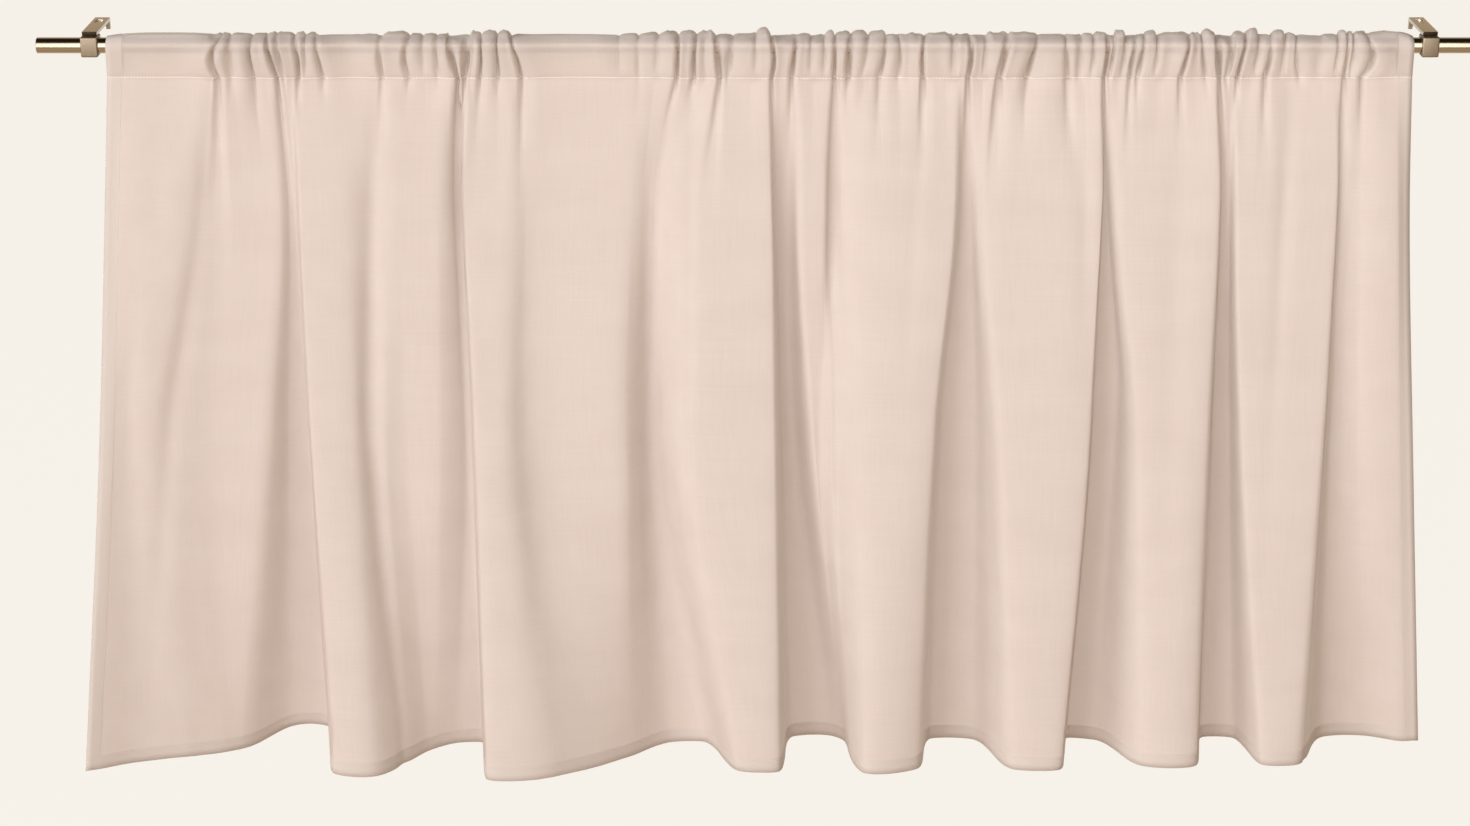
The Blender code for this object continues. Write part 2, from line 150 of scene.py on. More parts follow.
# Each fold runs down the cloth between a left and a right shoulder. At the head the cloth is on the rod.
Fold = namedtuple("Fold", "name head_left head_right upper_left upper_right upper_depth "
                          "mid_left mid_right mid_depth hem_left hem_left_depth hem_right hem_right_depth")
FOLDS = (
    Fold("left edge", -655, -649, -666, -659, 3, -686, -677, 16, -725, 38, -712, 34),
    Fold("left panel", -632, -566, -640, -577, 6, -660, -619, 12, -675, 17, -610, 1),
    Fold("left shoulder", -538, -500, -545, -492, -1, -569, -514, 0, -580, -8, -560, -18),
    Fold("first hollow", -484, -474, -480, -473, -8, -493, -476, -24, -515, -61, -474, -62),
    Fold("first fold", -463, -420, -466, -420, 8, -464, -420, 22, -457, 46, -410, 50),
    Fold("shallow hollow", -390, -374, -396, -382, 2, -402, -388, 11, -388, 30, -376, 13),
    Fold("low swell", -356, -321, -366, -327, 4, -369, -333, 8, -362, -8, -350, -19),
    Fold("second hollow", -303, -299, -309, -305, -7, -310, -304, -8, -330, -30, -304, -32),
    Fold("second fold", -291, -254, -298, -256, 6, -293, -262, 26, -291, 58, -240, 60),
    Fold("wide panel", -224, -128, -228, -132, 1, -232, -140, 12, -190, 38, -140, 4),
    Fold("third hollow", -88, -80, -111, -104, -6, -116, -108, -17, -92, -33, -60, -34),
    Fold("third fold", -45, 6, -58, 11, 8, -66, 16, 19, -20, 40, 23, 40),
    Fold("fourth hollow", 16, 32, 17, 34, -12, 25, 43, -26, 37, -43, 84, -46),
    Fold("thin ridge", 45, 62, 43, 64, 3, 55, 64, 0, 95, -34, 97, -25),
    Fold("thin hollow", 75, 79, 72, 77, -4, 74, 81, 9, 99, -8, 102, 12),
    Fold("fourth fold", 101, 195, 100, 198, 8, 106, 182, 24, 113, 41, 173, 32),
    Fold("fifth hollow", 204, 213, 206, 215, -8, 193, 227, -24, 190, -40, 236, -39),
    Fold("fifth fold", 235, 339, 232, 347, 8, 252, 344, 24, 276, 34, 327, 34),
    Fold("sixth hollow", 346, 350, 351, 355, -8, 354, 375, -24, 342, -42, 370, -38),
    Fold("sixth fold", 366, 454, 368, 466, 8, 394, 467, 22, 416, 27, 474, 25),
    Fold("seventh hollow", 463, 471, 473, 480, -9, 480, 495, -24, 491, -43, 524, -43),
    Fold("seventh fold", 484, 572, 488, 584, 6, 504, 586, 14, 546, 25, 584, 23),
    Fold("eighth hollow", 585, 602, 593, 612, -2, 600, 626, -7, 623, -45, 668, -47),
    Fold("right panel", 623, 639, 629, 648, 3, 645, 668, -2, 692, -40, 706, -35),
    Fold("right edge", 652, 655, 660, 663, -3, 682, 685, -6, 724, -36, 728, -36),
)

# Each gather is a crease in the rod pocket: its place at the stitching, how far its top leans and its middle
# bows to the right, how strong it is at the top and at the stitching, its half width, how far the cloth
# stands out beside it, how far below the stitching it dies away, and how high the next puff stands on top.
Gather = namedtuple("Gather", "at lean bow top foot width puff tail crest")
GATHERS = [Gather(*row) for row in (
    (-655, 3, 0, 0.0, 0.0, 2.0, 0, 5, 3.5), (-543, 7, -9, 0.8, 1.0, 2.6, 8, 200, 3.0),
    (-530, 2, 0, 0.6, 0.5, 3.4, 5, 20, 3.0), (-508, 2, -3, 1.0, 1.0, 2.3, 8, 60, 3.0),
    (-484, -8, -2, 1.0, 1.0, 2.4, 9, 120, 3.5), (-477, -5, 0, 0.9, 0.2, 2.0, 8, 15, 4.0),
    (-463, -1, 2, 0.8, 1.0, 2.4, 7, 25, 4.0), (-455, 2, 0, 0.8, 0.0, 2.0, 7, 5, 3.0),
    (-438, -5, -1, 0.7, 0.8, 2.8, 7, 20, 1.5), (-378, 1, -2, 0.5, 0.7, 3.0, 6, 60, 4.5),
    (-352, 3, -5, 0.8, 0.8, 2.8, 7, 15, 2.0), (-336, 0, 0, 0.7, 0.0, 2.2, 5, 5, 3.0),
    (-323, 1, 0, 1.0, 0.3, 2.3, 6, 10, 2.0), (-303, -8, -3, 0.8, 1.0, 2.3, 9, 150, 0.0),
    (-296, 7, 2, 0.9, 0.7, 2.2, 6, 20, 4.5), (-281, 3, 1, 1.0, 1.0, 2.4, 8, 40, 5.5),
    (-263, 1, 0, 1.0, 0.8, 2.4, 8, 25, 5.5), (-239, -10, 1, 0.9, 1.0, 2.6, 8, 100, 2.0),
    (-140, 0, 0, 0.6, 0.0, 2.6, 3, 5, 2.5), (-121, 0, 0, 0.5, 0.3, 3.2, 3, 70, 3.0),
    (-103, 2, 0, 0.6, 0.0, 4.0, 4, 5, 4.0), (-83, 2, 0, 1.0, 0.9, 2.6, 8, 40, 5.5),
    (-66, 3, -1, 1.0, 0.9, 2.5, 8, 15, 5.0), (-40, -4, -1, 0.9, 1.0, 2.6, 9, 90, 2.0),
    (-32, 6, 0, 0.8, 0.2, 2.2, 7, 15, 2.5), (-4, 0, 0, 0.4, 0.0, 3.0, 7, 5, 7.0),
    (12, -1, 3, 0.9, 1.0, 2.3, 8, 50, 0.5), (32, 6, -1, 0.9, 1.0, 2.9, 8, 90, 2.5),
    (51, 0, 0, 0.5, 0.0, 2.6, 7, 5, 0.5), (65, 0, 0, 0.6, 0.0, 2.6, 7, 5, 4.5),
    (75, 0, 0, 0.7, 1.0, 2.1, 7, 100, 4.5), (89, 2, -2, 0.9, 1.0, 3.0, 9, 20, 6.0),
    (102, 6, 2, 0.5, 0.0, 2.2, 6, 5, 5.0), (120, 6, 1, 0.9, 0.9, 3.2, 6, 80, 1.5),
    (139, 0, 1, 0.9, 0.5, 2.6, 5, 10, 1.5), (164, 0, -2, 0.9, 1.0, 2.3, 8, 70, 3.0),
    (195, -2, 0, 0.6, 0.0, 4.0, 8, 5, 1.0), (209, 1, 2, 0.8, 1.0, 2.8, 8, 100, 1.0),
    (225, 1, 0, 0.5, 0.0, 4.0, 7, 5, 3.0), (240, 8, 0, 0.7, 1.0, 3.8, 9, 100, 3.0),
    (267, 10, -1, 1.0, 1.0, 2.5, 8, 50, 2.5), (309, -4, -1, 0.6, 0.9, 3.2, 6, 100, 1.0),
    (321, 0, 0, 0.7, 0.3, 4.0, 5, 5, 3.0), (333, 0, 0, 0.9, 0.0, 2.2, 5, 5, 4.0),
    (345, 1, 1, 0.9, 1.0, 2.3, 8, 120, 0.5), (350, 4, 0, 0.8, 0.2, 2.1, 8, 10, 6.0),
    (363, 2, 0, 0.6, 0.0, 3.0, 6, 5, 0.5), (371, 5, -2, 0.7, 1.0, 2.3, 7, 60, 1.5),
    (379, 5, 0, 1.0, 0.7, 2.3, 7, 30, 5.0), (396, 0, 0, 0.7, 0.0, 2.3, 6, 5, 3.5),
    (422, 7, 1, 1.0, 0.9, 2.5, 8, 40, 3.0), (448, -8, -2, 1.0, 0.6, 2.4, 5, 10, 5.5),
    (461, -6, -1, 0.8, 1.0, 2.4, 9, 120, 0.0), (468, 3, 2, 0.9, 0.3, 2.3, 8, 10, 4.0),
    (479, 6, -1, 1.0, 1.0, 2.4, 8, 20, 7.0), (496, 1, 0, 0.7, 0.0, 3.0, 6, 5, 1.5),
    (507, 3, 1, 0.3, 1.0, 2.6, 7, 70, 6.0), (524, 0, 0, 0.4, 0.0, 4.0, 4, 5, 2.5),
    (542, -7, -3, 0.8, 0.6, 3.0, 4, 10, 0.5), (560, 0, 0, 0.4, 0.2, 5.0, 4, 10, 2.0),
    (577, 0, 0, 0.6, 0.0, 3.0, 5, 5, 6.0), (586, 0, 0, 0.4, 1.0, 2.2, 5, 50, 5.0),
    (592, 0, 0, 1.0, 0.1, 2.2, 5, 5, 4.0), (604, 1, 9, 0.8, 0.9, 3.0, 7, 80, 4.5),
    (655, -3, 0, 0.0, 0.0, 2.0, 0, 5, 0.0),
)]
# How far puffs reach, how high one is that counts as fully gathered, and how a crest bulges
PUFF_REACH = 19.0
FULL_PUFF = 6.0
CREST_FLAT, CREST_ROUND = 0.8, 0.2
# How creases widen down the cloth, how far puffs stand out, and how the cloth is pinched and deepened there
TAIL_SPREAD = 50.0
PUFF_SHARE = 1.15
PINCH_SHARE, PINCH_REACH = 0.6, 1.3
CREASE_DEEPENING = 1.3
# How the stitching holds the puffs in and sinks into the cloth
STITCH_PULL = 0.45
STITCH_GROOVE = 0.5
FLAP_BACK = FLAP_BEHIND - STITCH_GROOVE
BACK_PUFF_SHARE = 0.55

# Soft creases down the cloth: their places and depths at four heights, and half width. A ridge's depth is
# below 0.
Crease = namedtuple("Crease", "name places depths width")
CREASE_DROPS = (32.5, 160.0, 400.0, 750.0)
UPPER, MID = 1, 2
CREASES = (
    Crease("left shoulder trough", (-547, -564, -614, -660), (3.0, 3.2, 3.0, 0.0), 11),
    Crease("left panel trough", (-606, -611, -625, -640), (0.6, 0.8, 0.6, 0.0), 14),
    Crease("shallow hollow crease", (-383, -394, -407, -383), (2.0, 2.6, 3.0, 2.6), 9),
    Crease("second hollow crease", (-301, -307, -304, -304), (3.0, 5.0, 1.0, 0.0), 6),
    Crease("wide panel crease", (-66, -70, -74, -70), (1.0, 1.5, 1.0, 0.0), 7),
    Crease("thin crease", (78, 76, 73, 73), (2.0, 4.0, 1.0, 0.0), 6),
    Crease("fourth fold crease", (164, 158, 150, 150), (2.0, 1.2, 0.0, 0.0), 9),
    Crease("fifth fold crease", (241, 234, 232, 232), (2.0, 1.0, 0.0, 0.0), 10),
    Crease("drifting crease", (309, 331, 345, 350), (2.0, 1.6, 0.0, 0.0), 9),
    Crease("sixth fold swell", (425, 425, 428, 430), (1.0, 2.0, 1.6, 0.0), 16),
    Crease("seventh fold crease", (534, 534, 535, 536), (0.5, 2.5, 0.6, 0.0), 9),
    Crease("long thin crease", (587, 592, 594, 594), (2.0, 2.5, 2.5, 1.5), 4),
)
# Soft unevenness: how high it is, how far apart its bumps are along the cloth and down it, and its seed
Uneven = namedtuple("Uneven", "size spread drop seed")
WAVE = Uneven(1.0, 46.0, 190.0, 7.7)
RIPPLE = Uneven(0.3, 17.0, 60.0, 1.9)
POCKET_RIPPLE = Uneven(0.9, 11.0, 1.0, 3.1)
CRUMPLE = Uneven(4.0, 5.5, 0.7, 6.4)
HEM_WAVE = Uneven(1.0, 55.0, 1.0, 5.3)
HEM_WAVE_LOWEST = -0.5
CALM_BELOW = 60.0
POCKET_RIPPLE_DROP = 20.0

# How the grid's columns gather where the cloth bends
READING_STEPS = 6001
COLUMNS_AT_CREASE, COLUMNS_CREASE_REACH = 0.75, 1.6
COLUMNS_AT_SHOULDER = 3.5
COLUMNS_AT_BODY_CREASE, COLUMNS_BODY_REACH = 0.22, 1.5
COLUMNS_BASE = 0.06
EDGE_BLEND_LEFT, EDGE_BLEND_RIGHT = 110.0, 34.0


def at_place(points):
    """World places in metres of points given in millimetres as width, depth and height from the rod."""
    widths, depths, heights = points[..., 0], points[..., 1], points[..., 2]
    return np.stack([widths, -(ROD_FROM_WALL + depths), heights], axis=-1) * MM


def steady(step_before, step_after, before, after):
    """Slopes between two rises, for curves that never run past their own values."""
    same_way = before * after > 0
    first, second = 2 * step_after + step_before, step_after + 2 * step_before
    safe_before, safe_after = np.where(same_way, before, 1.0), np.where(same_way, after, 1.0)
    return np.where(same_way, (first + second) / (first / safe_before + second / safe_after), 0.0)


def rounding(step_before, step_after, before, after):
    """Slopes between two rises, for curves that round over their crests and hollows."""
    return (before * step_after + after * step_before) / (step_before + step_after)


def curves_through(knots, values, slopes_of, at):
    """Cubics through the values, one for each of their columns, read at the given places."""
    steps = np.diff(knots)[:, None]
    rises = np.diff(values, axis=0) / steps
    inner = slopes_of(steps[:-1], steps[1:], rises[:-1], rises[1:])
    slopes = np.concatenate((rises[:1], inner, rises[-1:]))
    i = np.clip(np.searchsorted(knots, at, side="right") - 1, 0, len(knots) - 2)
    step = steps[i]
    t = (at[:, None] - knots[i][:, None]) / step
    start = (1 + 2 * t) * (1 - t) ** 2 * values[i] + t * (1 - t) ** 2 * step * slopes[i]
    end = t * t * (3 - 2 * t) * values[i + 1] + t * t * (t - 1) * step * slopes[i + 1]
    return start + end


def shoulder_lines():
    """The folds' shoulders from left to right: one line each, with its width and depth at four heights."""
    widths, depths = [], []
    for fold in FOLDS:
        for side in ("left", "right"):
            widths.append([getattr(fold, f"{level}_{side}") for level in ("head", "upper", "mid", "hem")])
            depths.append([0, fold.upper_depth, fold.mid_depth, getattr(fold, f"hem_{side}_depth")])
    return np.array(widths, dtype=float), np.array(depths, dtype=float)


WIDTHS, DEPTHS = shoulder_lines()
HEM_RUN = np.concatenate(([0.0], np.cumsum(np.hypot(np.diff(WIDTHS[:, 3]), np.diff(DEPTHS[:, 3])))))


def read_lines(runs):
    """Widths and depths at the four heights, at places given by their run along the hem."""
    return (curves_through(HEM_RUN, WIDTHS, steady, runs),
            curves_through(HEM_RUN, DEPTHS, rounding, runs))


def down_the_cloth(values, height):
    """Reads every line's four values at a height between the stitching and the hem."""
    run = HEAD_HEIGHT - np.array([HEAD_HEIGHT, UPPER_HEIGHT, MID_HEIGHT, HEM_HEIGHT])
    return curves_through(run, values.T, steady, np.array([HEAD_HEIGHT - height]))[0]


def column(name):
    """One named column of the gather table, as an array."""
    return np.array([getattr(gather, name) for gather in GATHERS], dtype=float)


GATHER_AT = column("at")


def fading(below):
    """How much of each gather is left at a distance below the stitching."""
    return np.exp(-below / column("tail"))


def puffs_at(heads, fade):
    """How far the highest puff stands out at each place."""
    return (column("puff") * fade * np.exp(-((heads[:, None] - GATHER_AT) / PUFF_REACH) ** 2)).max(axis=1)


def creases_at(heads, below, rise):
    """Each crease's strength and half width, and the way to it from each place."""
    strength = column("foot") + (column("top") - column("foot")) * min(max(rise, 0.0), 1.0)
    width = column("width") * (1.0 + below / TAIL_SPREAD)
    return strength * fading(below), width, heads[:, None] - GATHER_AT


def gather_push(heads, below, rise, pull, deepened=1.0):
    """How far the gathers push the cloth out, below the stitching or at a share of the pocket's rise."""
    strength, width, away = creases_at(heads, below, rise)
    crease = deepened * (strength * np.exp(-(away / width) ** 4)).max(axis=1)
    return PUFF_SHARE * puffs_at(heads, fading(below)) * (1.0 - pull - crease)


def crest_at(heads):
    """How high the puffs stand above the pocket's top, from crease to crease."""
    i = np.clip(np.searchsorted(GATHER_AT, heads, side="right") - 1, 0, len(GATHERS) - 2)
    t = np.clip((heads - GATHER_AT[i]) / (GATHER_AT[i + 1] - GATHER_AT[i]), 0.0, 1.0)
    bulge = (1.0 - (2.0 * t - 1.0) ** 4) * (CREST_FLAT + CREST_ROUND * np.sin(pi * t))
    return column("crest")[i] * bulge


def pinched(heads, below, rise):
    """How far the cloth is drawn sideways into its gathers, so that their creases are narrow and sharp."""
    strength, width, away = creases_at(heads, below, rise)
    return -PINCH_SHARE * (strength * away * np.exp(-(away / (PINCH_REACH * width)) ** 2)).sum(axis=1)


def leaned(heads, rise):
    """Widths of the heading places at a share of the pocket's rise, with the creases' lean, bow and pinch."""
    share = min(max(rise, 0.0), 1.0)
    lean = np.interp(heads, GATHER_AT, column("lean")) * max(rise, 0.0)
    bow = np.interp(heads, GATHER_AT, column("bow")) * 4.0 * share * (1.0 - share)
    return heads + lean + bow + pinched(heads, 0.0, rise)


def rippled(runs, height, kind):
    """Smooth unevenness of the cloth, of one kind, at runs along it and a height."""
    down = height / kind.drop
    return kind.size * np.array([noise.noise(Vector((run / kind.spread, down, kind.seed))) for run in runs])


def arc_lengths(points):
    """Lengths along a row of points from its first one."""
    return np.concatenate(([0.0], np.cumsum(np.linalg.norm(np.diff(points, axis=0), axis=1))))


def moved_along_normal(points, distances):
    """Moves a row of points along the row's own normal in plan, forwards where the distance is above 0."""
    along = np.gradient(points[:, :2], axis=0)
    along /= np.maximum(np.linalg.norm(along, axis=1), NEARLY_ZERO)[:, None]
    moved = points.copy()
    moved[:, 0] -= along[:, 1] * distances
    moved[:, 1] += along[:, 0] * distances
    return moved


def cloth_columns(side_hem):
    """Runs along the hem of the grid's columns: fixed on the side hems, and close together at the bends."""
    fine = np.linspace(0.0, HEM_RUN[-1], READING_STEPS)
    widths, depths = read_lines(fine)
    heads = widths[:, 0]
    reach = COLUMNS_CREASE_REACH * column("width")
    at_crease = np.exp(-((heads[:, None] - GATHER_AT) / reach) ** 2).max(axis=1) * np.gradient(heads, fine)
    turn = np.unwrap(np.arctan2(np.gradient(depths[:, 3]), np.gradient(widths[:, 3])))
    at_shoulder = np.abs(np.gradient(turn, fine))
    density = COLUMNS_BASE + COLUMNS_AT_CREASE * at_crease + COLUMNS_AT_SHOULDER * at_shoulder
    for crease in CREASES:
        for level in (UPPER, MID):
            away = widths[:, level] - crease.places[level]
            near = np.exp(-(away / (COLUMNS_BODY_REACH * crease.width)) ** 2)
            density += COLUMNS_AT_BODY_CREASE * near * np.gradient(widths[:, level], fine)
    hem = np.array([share * side_hem for share in SIDE_HEM_COLUMNS])
    inner = (fine > side_hem) & (fine < HEM_RUN[-1] - side_hem)
    total = np.cumsum(np.where(inner, density, 0.0))
    count = COLUMN_COUNT - 2 * len(hem)
    shares = total[-1] * (np.arange(count) + 0.5) / count
    return np.concatenate((hem, np.interp(shares, total, fine), HEM_RUN[-1] - hem[::-1]))


def set_by_hems(points, runs, side_hem):
    """Slides a row's points along it, so that the columns on the side hems lie straight down the cloth."""
    along = arc_lengths(points)
    end, last = along[-1], HEM_RUN[-1]
    left, right = EDGE_BLEND_LEFT, last - EDGE_BLEND_RIGHT
    knots = [0.0, side_hem, left, right, last - side_hem, last]
    places = [0.0, side_hem, np.interp(left, runs, along), np.interp(right, runs, along), end - side_hem, end]
    slid = np.interp(runs, knots, places)
    slid = np.where((runs > left) & (runs < right), along, slid)
    return np.stack([np.interp(slid, along, points[:, k]) for k in range(3)], axis=1)


def with_heights(widths, depths, heights):
    """A row of points from its widths, its depths and its heights, any of which may be one number."""
    return np.stack(np.broadcast_arrays(widths, depths, heights), axis=1).astype(float)


def pocket_rise(heights):
    """Share of the way from the stitching up to the pocket's top."""
    return (heights - STITCH_HEIGHT) / (LOOP_RADIUS - STITCH_HEIGHT)


def gathered(heads):
    """How closely the pocket is gathered, from 0 where it is flat to 1 among the puffs."""
    return np.minimum(puffs_at(heads, 1.0) / FULL_PUFF, 1.0)


def pocket_ripple(heads, turn):
    """Small unevenness of the gathered pocket, more where the puffs stand out."""
    return rippled(heads, turn, POCKET_RIPPLE) * gathered(heads)


def crumple(heads, turn):
    """Fine crumples along the pocket's top, which only raise it."""
    return np.maximum(rippled(heads, turn, CRUMPLE), 0.0) * gathered(heads)


def loop_row(heads, angle):
    """A row of the rod pocket at an angle round the rod, from the front over the top to the back."""
    turn = radians(angle)
    rise = max(float(pocket_rise(LOOP_RADIUS * sin(turn))), 0.0)
    push = np.maximum(gather_push(heads, 0.0, rise, 0.0) + pocket_ripple(heads, sin(turn)), 0.0)
    share = 1.0 if cos(turn) > 0 else BACK_PUFF_SHARE
    crest = crest_at(heads) + crumple(heads, turn) if sin(turn) > 0 else np.zeros_like(heads)
    heights = (LOOP_RADIUS + crest) * sin(turn)
    return with_heights(leaned(heads, rise), (LOOP_RADIUS + push * share) * cos(turn), heights)


def pocket_front_row(heads, height):
    """A row of the pocket's front, between its round top and the stitching."""
    low = LOOP_RADIUS * sin(radians(LOOP_LOW_ANGLE))
    share = (low - height) / (low - STITCH_HEIGHT)
    rise = float(pocket_rise(height))
    round_part = LOOP_RADIUS * cos(radians(LOOP_LOW_ANGLE)) * (1.0 - share)
    deepened = 1.0 + CREASE_DEEPENING * sin(pi * share)
    push = gather_push(heads, 0.0, rise, STITCH_PULL * share ** 2, deepened)
    ripple = pocket_ripple(heads, height / POCKET_RIPPLE_DROP) * (1.0 - share)
    return with_heights(leaned(heads, rise), round_part + push + ripple, height)


def body_row(heads, widths, depths, runs, height):
    """A row of the hanging cloth, on the folds of the table, with its creases and waves."""
    below = STITCH_HEIGHT - height
    push = gather_push(heads, below, 0.0, STITCH_PULL)
    across = down_the_cloth(widths, height) + pinched(heads, below, 0.0)
    points = with_heights(across, down_the_cloth(depths, height) + push, height)
    along = arc_lengths(points)
    away = np.zeros_like(along)
    for crease in CREASES:
        place = np.interp(-height, CREASE_DROPS, crease.places)
        depth = np.interp(-height, CREASE_DROPS, crease.depths)
        centre = np.interp(place, points[:, 0], along)
        away -= depth * np.exp(-((along - centre) / crease.width) ** 2)
    calm = min(below / CALM_BELOW, 1.0)
    away += calm * rippled(runs, height, WAVE) + calm * rippled(runs, height, RIPPLE)
    points = moved_along_normal(points, away)
    near_hem = np.exp(-(height - HEM_HEIGHT) / HEM_LIFT_FADE)
    lift = HEM_LIFT * np.exp(-((points[:, 0] - HEM_LIFT_X) / HEM_LIFT_REACH) ** 2)
    points[:, 2] += near_hem * (lift + np.maximum(rippled(runs, 0.0, HEM_WAVE), HEM_WAVE_LOWEST))
    return points


def cloth_grid(side_hem, bottom_hem):
    """The cloth's front surface in rows, from the pocket's sewn edge behind, over the rod, to the hem."""
    runs = cloth_columns(side_hem)
    widths, depths = read_lines(runs)
    heads = widths[:, 0]
    stitch = pocket_front_row(heads, STITCH_HEIGHT)
    behind = np.full(len(heads), -FLAP_BEHIND)
    flap = [moved_along_normal(body_row(heads, widths, depths, runs, FLAP_END), behind),
            moved_along_normal(stitch, behind)]
    groove = np.full(len(heads), -STITCH_GROOVE)
    sweep = 180.0 - 2 * LOOP_LOW_ANGLE
    loop = [loop_row(heads, 180.0 - LOOP_LOW_ANGLE - sweep * k / (LOOP_ROWS - 1)) for k in range(LOOP_ROWS)]
    back = [flap[1] + (loop[0] - flap[1]) * share for share in BACK_ROW_SHARES]
    low = LOOP_RADIUS * sin(radians(LOOP_LOW_ANGLE))
    steps = np.linspace(low, STITCH_LIPS[0], POCKET_FRONT_ROWS + 1)[1:]
    front = [pocket_front_row(heads, float(height)) for height in steps]
    kinds = ["flap"] * 2 + ["pocket"] * (len(back) + len(loop) + len(front)) + ["stitch"]
    rows = flap + back + loop + front + [moved_along_normal(stitch, groove)]
    heights = [STITCH_LIPS[1]]
    for end, count in BODY_STRETCHES:
        heights += list(np.linspace(heights[-1], end, count + 1)[1:])
    top_of_hem = HEM_HEIGHT + bottom_hem
    heights[-1] = top_of_hem + HEM_EDGE_ABOVE
    for height in heights:
        rows.append(body_row(heads, widths, depths, runs, float(height)))
        kinds.append("body")
    for height in (top_of_hem, top_of_hem - HEM_STITCH_IN, (top_of_hem + HEM_HEIGHT) / 2, HEM_HEIGHT):
        rows.append(body_row(heads, widths, depths, runs, height))
        kinds.append("hem")
    kinds[-3] = "hem stitch"
    return runs, kinds, np.stack([set_by_hems(row, runs, side_hem) for row in rows])


def feed(tree, node, inputs):
    """Gives a node's sockets plain values, or links them to other nodes' outputs."""
    for socket, value in inputs.items():
        if isinstance(value, bpy.types.NodeSocket):
            tree.links.new(value, node.inputs[socket])
        else:
            node.inputs[socket].default_value = value


def add_node(tree, kind, inputs, **settings):
    """A new node of a material or a world, with its properties and its inputs set."""
    node = tree.nodes.new(kind)
    for name, value in settings.items():
        setattr(node, name, value)
    feed(tree, node, inputs)
    return node


def math_node(tree, operation, *values):
    """A Math node whose inputs are numbers or other nodes' outputs."""
    return add_node(tree, "ShaderNodeMath", dict(enumerate(values)), operation=operation).outputs["Value"]


def weighed(tree, first, first_share, second, second_share):
    """The sum of two values, each with its own share."""
    return math_node(tree, "ADD", math_node(tree, "MULTIPLY", first, first_share),
                     math_node(tree, "MULTIPLY", second, second_share))


def stretched_noise(tree, vector, scale, detail=2.0, roughness=0.5):
    """Noise read at a place scaled by three numbers, so that it can run along one direction."""
    stretched = add_node(tree, "ShaderNodeMapping", {"Vector": vector, "Scale": scale}).outputs["Vector"]
    inputs = {"Vector": stretched, "Scale": 1.0, "Detail": detail, "Roughness": roughness}
    return add_node(tree, "ShaderNodeTexNoise", inputs).outputs["Fac"]


def mapped(tree, value, low, high, to_low, to_high):
    """A value carried from one range to another, and held at its ends."""
    inputs = {"Value": value, "From Min": low, "From Max": high, "To Min": to_low, "To Max": to_high}
    return add_node(tree, "ShaderNodeMapRange", inputs, clamp=True).outputs["Result"]


def opaque(colour):
    """A colour as its socket takes it."""
    return (*colour, 1.0)


def mixed(tree, share, first, second):
    """A colour between two colours, each plain or another node's output."""
    inputs = {"Factor": share, MIX_FIRST: first, MIX_SECOND: second}
    return add_node(tree, "ShaderNodeMix", inputs, data_type="RGBA").outputs[MIX_RESULT]


def two_shaders(tree, share, first, second):
    """A shader between two shaders."""
    return add_node(tree, "ShaderNodeMixShader", {"Fac": share, 1: first, 2: second}).outputs["Shader"]


def bumped(tree, height, distance, strength):
    """A normal bent by a height, in metres."""
    inputs = {"Height": height, "Distance": distance, "Strength": strength}
    return add_node(tree, "ShaderNodeBump", inputs).outputs["Normal"]


def object_places(tree):
    """Places on the piece itself, in metres."""
    return add_node(tree, "ShaderNodeTexCoord", {}).outputs["Object"]


def new_material(name):
    """A material with its node tree, its Principled shader and its output."""
    material = bpy.data.materials.new(name)
    material.use_nodes = True
    tree = material.node_tree
    return material, tree, tree.nodes["Principled BSDF"], tree.nodes["Material Output"]


def darker(colour, share):
    """A colour made darker by a share, and a little warmer."""
    return (colour[0] * (1 - share * 0.85), colour[1] * (1 - share), colour[2] * (1 - share * 1.1))


